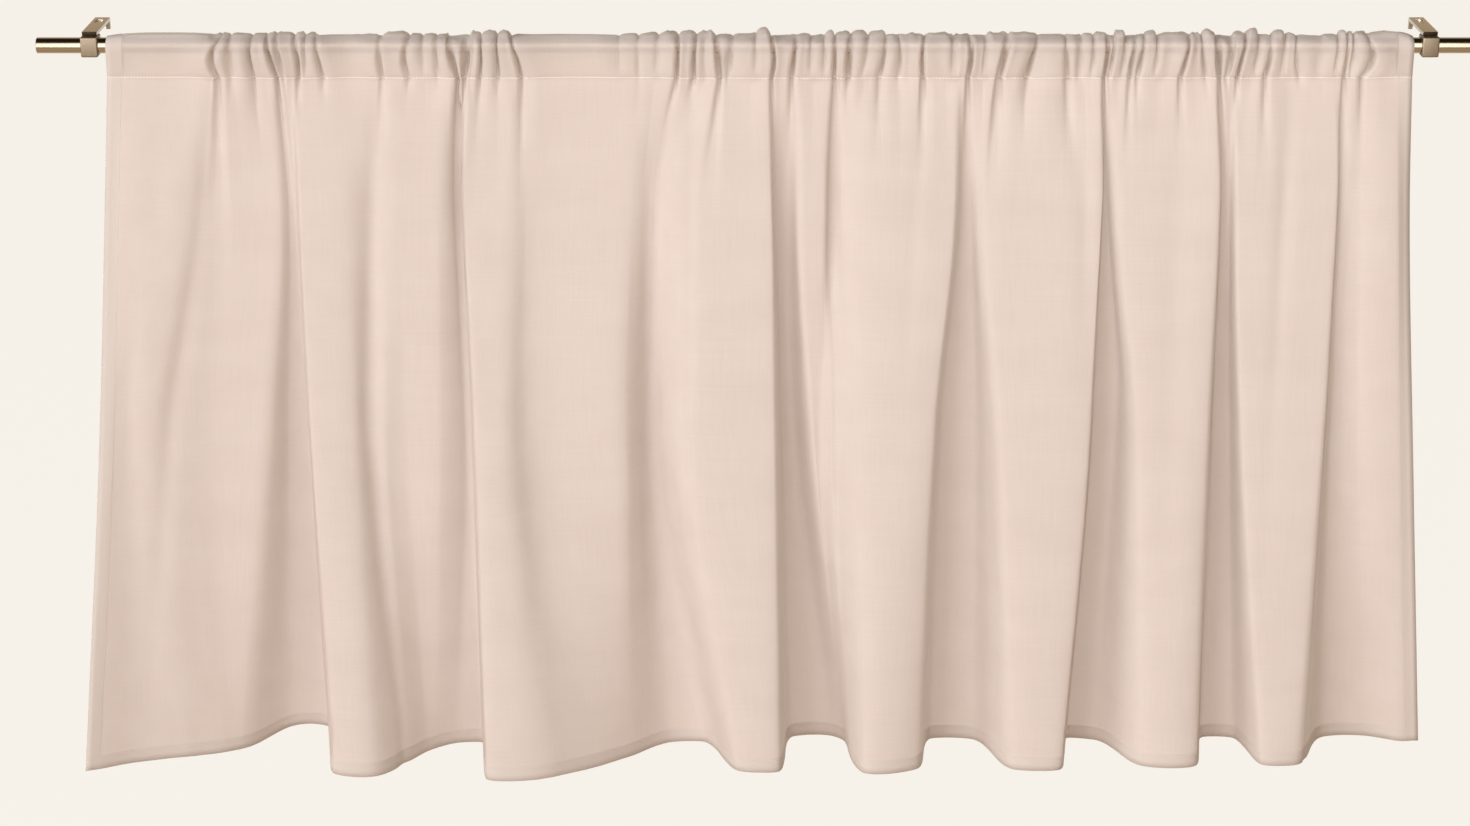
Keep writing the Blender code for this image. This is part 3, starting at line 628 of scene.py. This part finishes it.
def sheer_linen(sizes):
    """Sheer linen: plain weave with slubs, seen through where it is one layer and less so at its hems."""
    material, tree, shader, output = new_material("sheer linen")
    flat = add_node(tree, "ShaderNodeUVMap", {}, uv_map="cloth").outputs["UV"]
    inputs = {"Vector": flat, "Scale": (FLAT_WIDTH, FLAT_LENGTH, 1.0)}
    place = add_node(tree, "ShaderNodeMapping", inputs).outputs["Vector"]
    parts = add_node(tree, "ShaderNodeSeparateXYZ", {"Vector": place})
    across, up = parts.outputs["X"], parts.outputs["Y"]

    warp = stretched_noise(tree, place, (1 / SLUB_WIDTH, 1 / SLUB_LENGTH, 1.0))
    weft = stretched_noise(tree, place, (1 / SLUB_LENGTH, 1 / SLUB_WIDTH, 1.0))
    slubs = weighed(tree, warp, 0.5, weft, 0.5)
    cloudy = stretched_noise(tree, place, (1 / MOTTLE_SIZE, 1 / MOTTLE_SIZE, 1.0), detail=3.0)
    turns = [math_node(tree, "MULTIPLY", way, 2 * pi / WEAVE_PITCH) for way in (across, up)]
    weave = math_node(tree, "MULTIPLY", *[math_node(tree, "SINE", turn) for turn in turns])

    in_left = math_node(tree, "LESS_THAN", across, sizes.side_hem)
    in_right = math_node(tree, "GREATER_THAN", across, FLAT_WIDTH - sizes.side_hem)
    in_bottom = math_node(tree, "LESS_THAN", up, sizes.bottom_hem)
    hems = math_node(tree, "MAXIMUM", math_node(tree, "ADD", in_left, in_right), in_bottom)
    in_pocket = math_node(tree, "GREATER_THAN", up, POCKET_FROM * MM)
    doubled = math_node(tree, "MULTIPLY", in_pocket, math_node(tree, "SUBTRACT", 1.0, hems))
    tone = math_node(tree, "ADD", mapped(tree, slubs, *SLUB_RANGE, 0.0, 0.5),
                     mapped(tree, cloudy, *MOTTLE_RANGE, 0.0, 0.5))
    dark = opaque(darker(sizes.linen_colour, sizes.slub_contrast))
    linen = mixed(tree, tone, dark, opaque(sizes.linen_colour))
    hemmed = mixed(tree, hems, linen, opaque(sizes.hem_colour))
    # The rod pocket takes the lighter pocket colour, painted light against its shade
    colour = mixed(tree, doubled, hemmed, opaque(sizes.pocket_painted_light_colour))
    normal = bumped(tree, weighed(tree, weave, 0.3, slubs, 1.5), 0.0002, 0.35)
    feed(tree, shader, {"Base Color": colour, "Roughness": 0.85, "Specular IOR Level": 0.2,
                        "Sheen Weight": 0.08, "Sheen Roughness": 0.5, "Normal": normal})

    layers = math_node(tree, "ADD", math_node(tree, "MULTIPLY", hems, HEM_LAYERS - 1.0), 1.0)
    share = mapped(tree, doubled, 0.0, 1.0, 1.0, sizes.pocket_openness / sizes.openness)
    thin, thick = sizes.openness * (1 + SLUB_OPENING), sizes.openness * (1 - SLUB_OPENING)
    openness = math_node(tree, "MULTIPLY", share, mapped(tree, slubs, *SLUB_RANGE, thin, thick))
    opacity = math_node(tree, "SUBTRACT", 1.0, math_node(tree, "POWER", openness, layers))

    glow_colour = mixed(tree, tone, opaque(darker(sizes.glow_colour, 0.1)), opaque(sizes.glow_colour))
    inputs = {"Color": glow_colour, "Normal": normal}
    glow = add_node(tree, "ShaderNodeBsdfTranslucent", inputs).outputs["BSDF"]
    glow_share = math_node(tree, "DIVIDE", sizes.glow, layers)
    cloth = two_shaders(tree, glow_share, shader.outputs["BSDF"], glow)
    tint = {"Color": opaque(sizes.through_colour)}
    through = add_node(tree, "ShaderNodeBsdfTransparent", tint).outputs["BSDF"]
    clear = add_node(tree, "ShaderNodeBsdfTransparent", {}).outputs["BSDF"]
    inner_face = add_node(tree, "ShaderNodeNewGeometry", {}).outputs["Backfacing"]
    one_layer = two_shaders(tree, inner_face, two_shaders(tree, opacity, through, cloth), clear)
    tree.links.new(one_layer, output.inputs["Surface"])
    return material


def sewing_thread(name, colour):
    """Cotton thread, with its twist as fine slanting lines."""
    material, tree, shader, _ = new_material(name)
    twist = stretched_noise(tree, object_places(tree), THREAD_TWIST)
    tone = mixed(tree, twist, opaque(darker(colour, 0.15)), opaque(colour))
    feed(tree, shader, {"Base Color": tone, "Roughness": 0.7, "Specular IOR Level": 0.3,
                        "Normal": bumped(tree, twist, 0.0001, 0.4)})
    return material


def brushed_metal(name, colour, finish):
    """Metal with fine streaks and a few cloudy touches of wear."""
    material, tree, shader, _ = new_material(name)
    places = object_places(tree)
    lines = stretched_noise(tree, places, finish.grain, detail=3.0, roughness=0.6)
    handled = stretched_noise(tree, places, WEAR_SCALE, detail=4.0)
    tone = weighed(tree, lines, 0.6, handled, 0.4)
    shade = mixed(tree, tone, opaque(darker(colour, finish.contrast)), opaque(colour))
    rough = mapped(tree, tone, 0.3, 0.7, finish.roughness * 0.85, finish.roughness * 1.2)
    feed(tree, shader, {"Base Color": shade, "Metallic": 1.0, "Roughness": rough,
                        "Normal": bumped(tree, lines, 0.00004, 0.25)})
    return material


def pale_floor(colour, near_glow_colour):
    """Pale floor that glows by itself: evenly behind the cloth, as a backdrop, and dimmer and warm in front
    of it, where the glow is painted light that fills the cloth from below and shows dim in the rod.
    """
    material, tree, shader, _ = new_material("pale floor")
    back = add_node(tree, "ShaderNodeSeparateXYZ", {"Vector": object_places(tree)}).outputs["Y"]
    # The floor's glow: dim and warm in front, which is painted light, and evenly pale behind
    behind = mapped(tree, back, FLOOR_DIM_TO, FLOOR_PALE_FROM, 0.0, 1.0)
    feed(tree, shader, {"Emission Color": mixed(tree, behind, opaque(near_glow_colour), opaque(colour)),
                        "Emission Strength": 1.0, "Base Color": opaque(FLOOR_PAINT), "Roughness": 0.9,
                        "Specular IOR Level": 0.0})
    return material


def number(label, about, default, low, high):
    """A property for a plain number."""
    return bpy.props.FloatProperty(name=label, description=about, default=default, min=low, max=high)


def length(label, about, default_mm, low_mm, high_mm):
    """A property for a length in millimetres, kept in metres."""
    return bpy.props.FloatProperty(name=label, description=about, default=default_mm * MM, min=low_mm * MM,
                                   max=high_mm * MM, unit="LENGTH", subtype="DISTANCE", precision=5)


def colour(label, about, default):
    """A property for a colour."""
    return bpy.props.FloatVectorProperty(name=label, description=about, default=default, min=0.0, max=1.0,
                                         size=3, subtype="COLOR")


class VALANCE_PG_cloth(bpy.types.PropertyGroup):
    """Sizes and colours of the linen."""
    thickness: length("Thickness", "Thickness of one layer of the cloth", 0.6, 0.2, 1.5)
    hem_thickness: length("Hem thickness", "Thickness of the turned hems", 1.2, 0.6, 3.0)
    side_hem: length("Side hem", "Width of the side hems", 16.0, 5.0, 40.0)
    bottom_hem: length("Bottom hem", "Height of the bottom hem", 16.0, 5.0, 40.0)
    stitch_pitch: length("Stitch pitch", "Distance from one stitch to the next", 3.2, 2.0, 6.0)
    stitch_length: length("Stitch length", "Length of one stitch", 2.4, 1.0, 5.0)
    thread_thickness: length("Thread thickness", "Thickness of the hems' sewing thread", 0.6, 0.2, 1.0)
    pocket_thread_thickness: length("Pocket thread size", "Thickness of the pocket's thread", 0.85, 0.2, 1.5)
    linen_colour: colour("Linen", "Colour of the linen in front light", (0.645, 0.574, 0.563))
    hem_colour: colour("Hems", "Colour of the turned hems", (0.598, 0.548, 0.530))
    # The pocket is coloured lighter and a little greyer than the linen: the greyer tone is its own, and the
    # extra lightness is painted light that makes up for the light the rod and the layer behind hold back
    pocket_painted_light_colour: colour("Pocket", "Colour of the two layers of the rod pocket", (0.715, 0.665, 0.665))
    glow_colour: colour("Linen glow", "Colour of the light that passes through the linen", (0.85, 0.62, 0.44))
    through_colour: colour("Seen through", "Tint of what is seen through the weave", (1.0, 0.95, 0.88))
    glow: number("Glow", "Share of the light that passes through one layer and scatters", 0.12, 0.0, 1.0)
    openness: number("Openness", "Share of one layer that is open between the threads", 0.15, 0.0, 0.6)
    pocket_openness: number("Pocket openness", "The same share on the rod pocket", 0.30, 0.0, 0.6)
    slub_contrast: number("Slub contrast", "How much darker the thin threads are", 0.085, 0.0, 0.5)
    # The pocket's thread is nearly white: its own pale colour together with a painted highlight along the
    # stitched ridge
    pocket_thread_with_highlight: colour("Pocket thread", "Colour of the thread along the rod pocket", (0.98, 0.94, 0.89))
    hem_thread: colour("Hem thread", "Colour of the thread along the hems", (0.74, 0.61, 0.53))


class VALANCE_PG_metal(bpy.types.PropertyGroup):
    """Sizes and colours of the rod and the brackets."""
    rod_radius: length("Rod radius", "Radius of the round rod", 8.0, 4.0, 20.0)
    rod_length: length("Rod length", "Length of the rod", 1445.0, 400.0, 3000.0)
    tube_wall: length("Tube wall", "Thickness of the rod's wall, seen at its ends", 1.0, 0.4, 3.0)
    rod_colour: colour("Rod", "Colour of the brushed nickel", (0.62, 0.58, 0.48))
    collar_colour: colour("Collars", "Colour of the warm matt nickel", (0.35, 0.295, 0.23))
    arm_colour: colour("Arms", "Colour of the satin nickel", (0.62, 0.60, 0.53))
    # The arms' front edges are painted near black: painted shade where they face the room, not the metal's
    # own colour
    edge_painted_shade_colour: colour("Arm edge", "Colour of the arms' dark front edge", (0.05, 0.035, 0.02))


class VALANCE_PG_stage(bpy.types.PropertyGroup):
    """Light and surroundings."""
    floor_colour: colour("Floor", "Colour of the lit floor", (0.85, 0.82, 0.76))
    # In front of the cloth the floor glows dim and warm: painted light that fills the cloth from below and
    # shows dim in the rod
    near_floor_glow_colour: colour("Near floor", "Colour of the floor in front of the cloth", (0.42, 0.27, 0.155))
    room_colour: colour("Room", "Colour of the room's light", (1.0, 0.74, 0.50))
    lamp_colour: colour("Lamps", "Colour of the lamps", (1.0, 0.985, 0.96))
    room_strength: number("Room light", "Strength of the light from the room", 0.28, 0.0, 5.0)
    front_strength: number("Front light", "Power of the wide light in front, in watts", 72.0, 0.0, 500.0)
    side_strength: number("Side light", "Strength of the soft light from the front left", 3.3, 0.0, 10.0)


def in_scene(name, data):
    """A new object of the scene, at the origin."""
    item = bpy.data.objects.new(name, data)
    bpy.context.scene.collection.objects.link(item)
    return item


def add_object(name, mesh_builder, *materials):
    """Turns a bmesh into an object of the scene, at the origin."""
    mesh = bpy.data.meshes.new(name)
    mesh_builder.to_mesh(mesh)
    mesh_builder.free()
    for material in materials:
        mesh.materials.append(material)
    return in_scene(name, mesh)


def handed_over(item, node):
    """Sets what a finished piece rides on and the solid that it stands for."""
    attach(item, BODY)
    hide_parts(node)


def apply_modifiers(item):
    """Makes an object's modifiers part of its mesh."""
    bpy.context.view_layer.update()
    solved = item.evaluated_get(bpy.context.evaluated_depsgraph_get())
    mesh = bpy.data.meshes.new_from_object(solved)
    item.modifiers.clear()
    item.data = mesh


def surface_normals(grid):
    """Unit normals of a grid of points, pointing out of the cloth's front."""
    along = np.gradient(grid, axis=1)
    up = -np.gradient(grid, axis=0)
    normals = np.cross(along, up)
    return normals / np.maximum(np.linalg.norm(normals, axis=2), NO_LENGTH)[:, :, None]


class VALANCE_OT_cloth(bpy.types.Operator):
    """Builds the gathered linen cloth on the rod"""
    bl_idname = "valance.cloth"
    bl_label = "Linen Cloth"

    def execute(self, context):
        sizes = context.scene.valance_cloth
        runs, kinds, grid = cloth_grid(sizes.side_hem / MM, sizes.bottom_hem / MM)
        places = at_place(grid)
        row_count, column_count = places.shape[:2]
        steps = np.linalg.norm(np.diff(grid, axis=0), axis=2).mean(axis=1)
        up = np.concatenate((np.cumsum(steps[::-1])[::-1], [0.0])) * MM / FLAT_LENGTH
        across = runs * MM / FLAT_WIDTH
        hem_rows = np.array([kind.startswith("hem") for kind in kinds])
        flap_rows = np.array([kind == "flap" for kind in kinds])
        in_side_hem = sizes.side_hem / MM - INSIDE_HEM
        side = (runs < in_side_hem) | (runs > HEM_RUN[-1] - in_side_hem)

        bm = bmesh.new()
        uv = bm.loops.layers.uv.new("cloth")
        layer = bm.verts.layers.deform.new()
        bmesh.ops.create_grid(bm, x_segments=column_count - 1, y_segments=row_count - 1, size=0.5)
        spots = {}
        for vert in bm.verts:
            column_at = round((vert.co.x + 0.5) * (column_count - 1))
            row_at = round((vert.co.y + 0.5) * (row_count - 1))
            spots[vert] = (row_at, column_at)
        for vert, (row_at, column_at) in spots.items():
            vert.co = places[row_at, column_at]
            if hem_rows[row_at] or side[column_at]:
                vert[layer][0] = 1.0
            elif flap_rows[row_at]:
                vert[layer][0] = FLAP_THICKNESS_SHARE
        for face in bm.faces:
            face.smooth = True
            for loop in face.loops:
                row_at, column_at = spots[loop.vert]
                loop[uv].uv = (across[column_at], up[row_at])
        bmesh.ops.reverse_faces(bm, faces=bm.faces)
        cloth = add_object("linen_cloth", bm, sheer_linen(sizes))
        cloth.vertex_groups.new(name="turned hems")
        wall = cloth.modifiers.new("thickness", "SOLIDIFY")
        wall.thickness = sizes.hem_thickness
        wall.offset = -1.0
        wall.vertex_group = "turned hems"
        wall.thickness_vertex_group = sizes.thickness / sizes.hem_thickness
        handed_over(cloth, "cloth")

        normals = surface_normals(places)
        seam = len(SIDE_HEM_COLUMNS) - 2
        pocket_seam = ((kinds.index("stitch"), None),)
        hem_seams = ((kinds.index("hem stitch"), None), (None, seam), (None, column_count - 1 - seam))
        # The pocket thread's near-white colour includes a painted highlight along the stitching
        for part, seams, depth, thick, thread_colour in (
                ("pocket", pocket_seam, FLAP_BACK * MM, sizes.pocket_thread_thickness, sizes.pocket_thread_with_highlight),
                ("hem", hem_seams, sizes.hem_thickness, sizes.thread_thickness, sizes.hem_thread)):
            lines = [stitch_line(places, normals, row_at, column_at, sizes) for row_at, column_at in seams]
            thread = sewing_thread(f"{part} thread", thread_colour)
            sew(f"{part}_stitches", lines, depth, sizes.stitch_length, thick, thread)
        return {"FINISHED"}


def stitch_line(places, normals, row_at, column_at, sizes):
    """Places, directions and normals of the stitches along a row or a column of the cloth's grid."""
    line = places[row_at] if column_at is None else places[:, column_at]
    facing = normals[row_at] if column_at is None else normals[:, column_at]
    run = arc_lengths(line)
    at = np.arange(sizes.stitch_pitch / 2, run[-1], sizes.stitch_pitch)
    half = sizes.stitch_length / 2

    def read(values, where):
        return np.stack([np.interp(where, run, values[:, k]) for k in range(3)], axis=1)

    direction = read(line, at + half) - read(line, at - half)
    return read(line, at), direction, read(facing, at)


def sew(name, lines, depth, stitch_length, thick, thread):
    """Small stitches along lines, on the front of the cloth and on its back, which lies a depth behind."""
    single = bmesh.new()
    bmesh.ops.create_uvsphere(single, u_segments=6, v_segments=4, radius=1.0,
                              matrix=Matrix.Rotation(pi / 2, 4, "X"))
    bmesh.ops.scale(single, verts=single.verts, vec=(thick / 2, stitch_length / 2, thick * THREAD_HEIGHT))
    for face in single.faces:
        face.smooth = True
    stitch = bpy.data.meshes.new("stitch")
    single.to_mesh(stitch)
    single.free()
    bm = bmesh.new()
    for places, directions, facings in lines:
        for place, direction, facing in zip(places, directions, facings):
            front = Vector(facing).normalized()
            along = Vector(direction).normalized()
            side = front.cross(along).normalized()
            turn = Matrix((side, along, front)).transposed().to_4x4()
            for away in (0.0, -depth):
                copy = stitch.copy()
                copy.transform(Matrix.Translation(Vector(place) + front * away) @ turn)
                bm.from_mesh(copy)
                bpy.data.meshes.remove(copy)
    bpy.data.meshes.remove(stitch)
    piece = add_object(name, bm, thread)
    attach(piece, BODY)
    return piece


def spun(bm, outline, sides):
    """Spins an outline of (place along X, radius) round the X axis into a closed round shape."""
    verts = [bm.verts.new((x, 0.0, radius)) for x, radius in outline]
    edges = [bm.edges.new(pair) for pair in zip(verts, verts[1:])]
    bmesh.ops.spin(bm, geom=verts + edges, cent=(0, 0, 0), axis=(1, 0, 0), angle=2 * pi, steps=sides,
                   use_merge=True)
    bmesh.ops.remove_doubles(bm, verts=bm.verts, dist=SAME_PLACE)
    bmesh.ops.recalc_face_normals(bm, faces=bm.faces)


def placed(item, offset):
    """Moves an object's mesh, so that the object itself stays at the origin."""
    item.data.transform(Matrix.Translation(offset))
    return item


def smooth_shaded(item, sharp_from):
    """Shades an object smooth, with its sharp edges kept."""
    item.data.shade_smooth()
    item.data.set_sharp_from_angle(angle=radians(sharp_from))


class VALANCE_OT_rod(bpy.types.Operator):
    """Builds the round tube that the cloth hangs on"""
    bl_idname = "valance.rod"
    bl_label = "Curtain Rod"

    def execute(self, context):
        sizes = context.scene.valance_metal
        radius, inner, half = sizes.rod_radius, sizes.rod_radius - sizes.tube_wall, sizes.rod_length / 2
        rim = ROD_RIM * MM
        end = [(half - ROD_HOLLOW * MM, 0.0), (half - ROD_HOLLOW * MM, inner), (half - rim, inner),
               (half, inner + rim), (half, radius - rim), (half - rim, radius)]
        outline = [(-x, r) for x, r in end] + end[::-1]
        bm = bmesh.new()
        spun(bm, outline, ROD_SIDES)
        rod = add_object("curtain_rod", bm, brushed_metal("brushed nickel", sizes.rod_colour, ROD_FINISH))
        placed(rod, (0.0, -ROD_FROM_WALL * MM, 0.0))
        smooth_shaded(rod, ROD_SHARP_FROM)
        handed_over(rod, "rod")
        return {"FINISHED"}


def carve(item, cutter):
    """Cuts the cutter's shape out of an object and takes the cutter away."""
    modifier = item.modifiers.new("cut", "BOOLEAN")
    modifier.object = cutter
    modifier.solver = "EXACT"
    apply_modifiers(item)
    bpy.data.objects.remove(cutter, do_unlink=True)


def round_ended_bar(name, width, length_along, depth):
    """A flat bar with round ends, in millimetres: length along Y, width along X and depth along Z."""
    bm = bmesh.new()
    bmesh.ops.create_cone(bm, cap_ends=True, segments=ROUND_SIDES, radius1=width / 2 * MM,
                          radius2=width / 2 * MM, depth=depth * MM)
    straight = (length_along - width) / 2 * MM
    far = [v for v in bm.verts if v.co.y > NEARLY_ZERO]
    near = [v for v in bm.verts if v.co.y < -NEARLY_ZERO]
    bmesh.ops.translate(bm, verts=far, vec=(0, straight, 0))
    bmesh.ops.translate(bm, verts=near, vec=(0, -straight, 0))
    return add_object(name, bm)


def rounded(bm, edges, offset, segments):
    """Rounds edges by an offset in millimetres."""
    bmesh.ops.bevel(bm, geom=edges, offset=offset * MM, segments=segments, profile=0.5,
                    affect="EDGES", material=-1)


def build_collar(name, x, node, material):
    """A square sleeve with rounded edges and a round bore that the rod slides through."""
    bm = bmesh.new()
    bmesh.ops.create_cube(bm, size=1.0)
    bmesh.ops.scale(bm, verts=bm.verts, vec=(COLLAR_WIDTH * MM, COLLAR_DEPTH * MM, COLLAR_HEIGHT * MM))
    rounded(bm, bm.edges[:], COLLAR_EDGE, 5)
    collar = add_object(name, bm, material)
    bore = bmesh.new()
    spun(bore, [(-COLLAR_WIDTH * MM, 0.0), (-COLLAR_WIDTH * MM, COLLAR_BORE_RADIUS * MM),
                (COLLAR_WIDTH * MM, COLLAR_BORE_RADIUS * MM), (COLLAR_WIDTH * MM, 0.0)], ROD_SIDES)
    carve(collar, add_object(f"{name}_bore", bore))
    placed(collar, (x * MM, -ROD_FROM_WALL * MM, 0.0))
    smooth_shaded(collar, BRACKET_SHARP_FROM)
    handed_over(collar, node)


def build_arm(name, x, node, materials):
    """A flat arm on top of the collar, turned down at the wall, with a recess above and a notch below."""
    underside = COLLAR_HEIGHT / 2 + ARM_SEAT_GAP
    top = underside + ARM_THICKNESS
    front = ROD_FROM_WALL + ARM_PAST_AXIS
    bm = bmesh.new()
    side_view = ((-front, underside), (-ARM_THICKNESS, underside), (-ARM_THICKNESS, top - PLATE_HEIGHT),
                 (0.0, top - PLATE_HEIGHT), (0.0, top), (-front, top))
    verts = [bm.verts.new((-ARM_WIDTH / 2 * MM, y * MM, z * MM)) for y, z in side_view]
    face = bm.faces.new(verts)
    widened = bmesh.ops.extrude_face_region(bm, geom=[face])
    moved = [item for item in widened["geom"] if isinstance(item, bmesh.types.BMVert)]
    bmesh.ops.translate(bm, verts=moved, vec=(ARM_WIDTH * MM, 0, 0))
    bmesh.ops.recalc_face_normals(bm, faces=bm.faces)
    bend = [edge for edge in bm.edges
            if all(abs(v.co.y) < NEARLY_ZERO and abs(v.co.z - top * MM) < NEARLY_ZERO for v in edge.verts)]
    rounded(bm, bend, ARM_BEND_RADIUS, 8)
    sharp = [edge for edge in bm.edges
             if len(edge.link_faces) == 2 and edge.calc_face_angle() > radians(ARM_CORNER_FROM)]
    rounded(bm, sharp, ARM_EDGE, 3)
    arm = add_object(name, bm, *materials)
    recess = round_ended_bar(f"{name}_recess", RECESS_WIDTH, RECESS_LENGTH, RECESS_DEPTH * 2)
    carve(arm, placed(recess, (0.0, -RECESS_FROM_WALL * MM, top * MM)))
    notch = round_ended_bar(f"{name}_notch", NOTCH_WIDTH, NOTCH_HEIGHT * 2, ARM_THICKNESS * 3)
    notch.data.transform(Matrix.Rotation(pi / 2, 4, "X"))
    carve(arm, placed(notch, (0.0, 0.0, (top - PLATE_HEIGHT) * MM)))
    # Faces at the arm's front that look into the room get the second material: a near-black painted shade
    for polygon in arm.data.polygons:
        if polygon.normal.y < FACES_ROOM and polygon.center.y < -(front - ARM_EDGE * 2) * MM:
            polygon.material_index = 1
    placed(arm, (x * MM, 0.0, 0.0))
    smooth_shaded(arm, BRACKET_SHARP_FROM)
    handed_over(arm, node)


class VALANCE_OT_brackets(bpy.types.Operator):
    """Builds the two wall brackets, each a collar and an arm"""
    bl_idname = "valance.brackets"
    bl_label = "Wall Brackets"

    def execute(self, context):
        sizes = context.scene.valance_metal
        warm = brushed_metal("warm matt nickel", sizes.collar_colour, COLLAR_FINISH)
        satin = brushed_metal("satin nickel", sizes.arm_colour, ARM_FINISH)
        # The last of these materials is a near-black painted shade for the arms' front edges
        dark = brushed_metal("dark arm edge", sizes.edge_painted_shade_colour, PAINTED_SHADE_EDGE_FINISH)
        for side, x in (("left", -BRACKET_X), ("right", BRACKET_X)):
            build_collar(f"bracket_collar_{side}", x, f"collar_{side}", warm)
            build_arm(f"bracket_arm_{side}", x, f"arm_{side}", (satin, dark))
        return {"FINISHED"}


def soft_sun(strength, tint):
    """A soft light from far away; azimuth 0 is straight in front of the cloth and above 0 is to its left."""
    light = bpy.data.lights.new("side light", "SUN")
    light.energy = strength
    light.angle = radians(SIDE_LIGHT_SPREAD)
    light.color = tint
    side, up = radians(SIDE_LIGHT_AZIMUTH), radians(SIDE_LIGHT_ELEVATION)
    towards = Vector((-sin(side) * cos(up), -cos(side) * cos(up), sin(up)))
    in_scene("side light", light).rotation_euler = towards.to_track_quat("Z", "Y").to_euler()


def wide_light(power, tint):
    """A wide soft light in front, mostly for the rod's highlight."""
    wide = bpy.data.lights.new("front light", "AREA")
    wide.shape = "RECTANGLE"
    wide.size, wide.size_y = FRONT_LIGHT_WIDTH, FRONT_LIGHT_HEIGHT
    wide.energy = power
    wide.color = tint
    wide.diffuse_factor = FRONT_LIGHT_DIFFUSE
    front = in_scene("front light", wide)
    front.location = FRONT_LIGHT_AT
    towards_rod = Vector((FRONT_LIGHT_AT[0], -ROD_FROM_WALL * MM, 0.0)) - Vector(FRONT_LIGHT_AT)
    front.rotation_euler = towards_rod.to_track_quat("-Z", "Y").to_euler()
    front.visible_camera = False


def room_world(stage):
    """The room's light, with a dim patch overhead and a pale one behind, which the metal shows."""
    world = bpy.data.worlds.new("room")
    bpy.context.scene.world = world
    world.use_nodes = True
    tree = world.node_tree
    direction = add_node(tree, "ShaderNodeTexCoord", {}).outputs["Generated"]
    shares = []
    for centre, reach, share in (DIM_PATCH, PALE_PATCH):
        inputs = {0: direction, 1: centre}
        towards = add_node(tree, "ShaderNodeVectorMath", inputs, operation="DOT_PRODUCT").outputs["Value"]
        low, high = cos(radians(reach + PATCH_FADE)), cos(radians(reach - PATCH_FADE))
        shares.append(mapped(tree, towards, low, high, 1.0, share))
    strength = math_node(tree, "MULTIPLY", math_node(tree, "MULTIPLY", *shares), stage.room_strength)
    feed(tree, tree.nodes["Background"], {"Color": opaque(stage.room_colour), "Strength": strength})


class VALANCE_OT_stage(bpy.types.Operator):
    """Sets the floor, the lights and the camera"""
    bl_idname = "valance.stage"
    bl_label = "Stage"

    def execute(self, context):
        stage = context.scene.valance_stage
        scene = context.scene
        scene.view_settings.view_transform = "Standard"
        bm = bmesh.new()
        bmesh.ops.create_grid(bm, x_segments=1, y_segments=1, size=FLOOR_REACH)
        bmesh.ops.translate(bm, verts=bm.verts, vec=(0.0, 0.0, FLOOR_HEIGHT))
        floor = add_object("floor", bm, pale_floor(stage.floor_colour, stage.near_floor_glow_colour))
        room_world(stage)
        soft_sun(stage.side_strength, stage.lamp_colour)
        wide_light(stage.front_strength, stage.lamp_colour)
        view = bpy.data.cameras.new("camera")
        view.lens = CAMERA_LENS
        view.sensor_width = CAMERA_SENSOR
        camera = in_scene("camera", view)
        camera.location = CAMERA_AT
        camera.rotation_euler = (radians(CAMERA_TILT), 0.0, 0.0)
        scene.camera = camera
        return {"FINISHED"}


class VALANCE_PT_panel(bpy.types.Panel):
    """Lists the valance's pieces and their sizes"""
    bl_idname = "VALANCE_PT_panel"
    bl_label = "Window Valance"
    bl_space_type = "VIEW_3D"
    bl_region_type = "UI"
    bl_category = "Valance"

    def draw(self, context):
        layout = self.layout
        for operator in PIECE_OPERATORS:
            layout.operator(operator.bl_idname)
        for group in (context.scene.valance_cloth, context.scene.valance_metal, context.scene.valance_stage):
            box = layout.box()
            for name in group.__annotations__:
                box.prop(group, name)


PIECE_OPERATORS = (VALANCE_OT_stage, VALANCE_OT_rod, VALANCE_OT_brackets, VALANCE_OT_cloth)
PROPERTY_GROUPS = (("valance_cloth", VALANCE_PG_cloth), ("valance_metal", VALANCE_PG_metal),
                   ("valance_stage", VALANCE_PG_stage))


def register():
    """Registers the add-on's classes and its settings."""
    for name, group in PROPERTY_GROUPS:
        bpy.utils.register_class(group)
        setattr(bpy.types.Scene, name, bpy.props.PointerProperty(type=group))
    for operator in PIECE_OPERATORS:
        bpy.utils.register_class(operator)
    bpy.utils.register_class(VALANCE_PT_panel)


def unregister():
    """Takes the add-on's classes and settings away."""
    bpy.utils.unregister_class(VALANCE_PT_panel)
    for operator in reversed(PIECE_OPERATORS):
        bpy.utils.unregister_class(operator)
    for name, group in reversed(PROPERTY_GROUPS):
        delattr(bpy.types.Scene, name)
        bpy.utils.unregister_class(group)


def main():
    """Builds the stage and every piece."""
    register()
    bpy.ops.valance.stage()
    bpy.ops.valance.rod()
    bpy.ops.valance.brackets()
    bpy.ops.valance.cloth()
    bpy.context.view_layer.update()


if __name__ == "__main__":
    main()
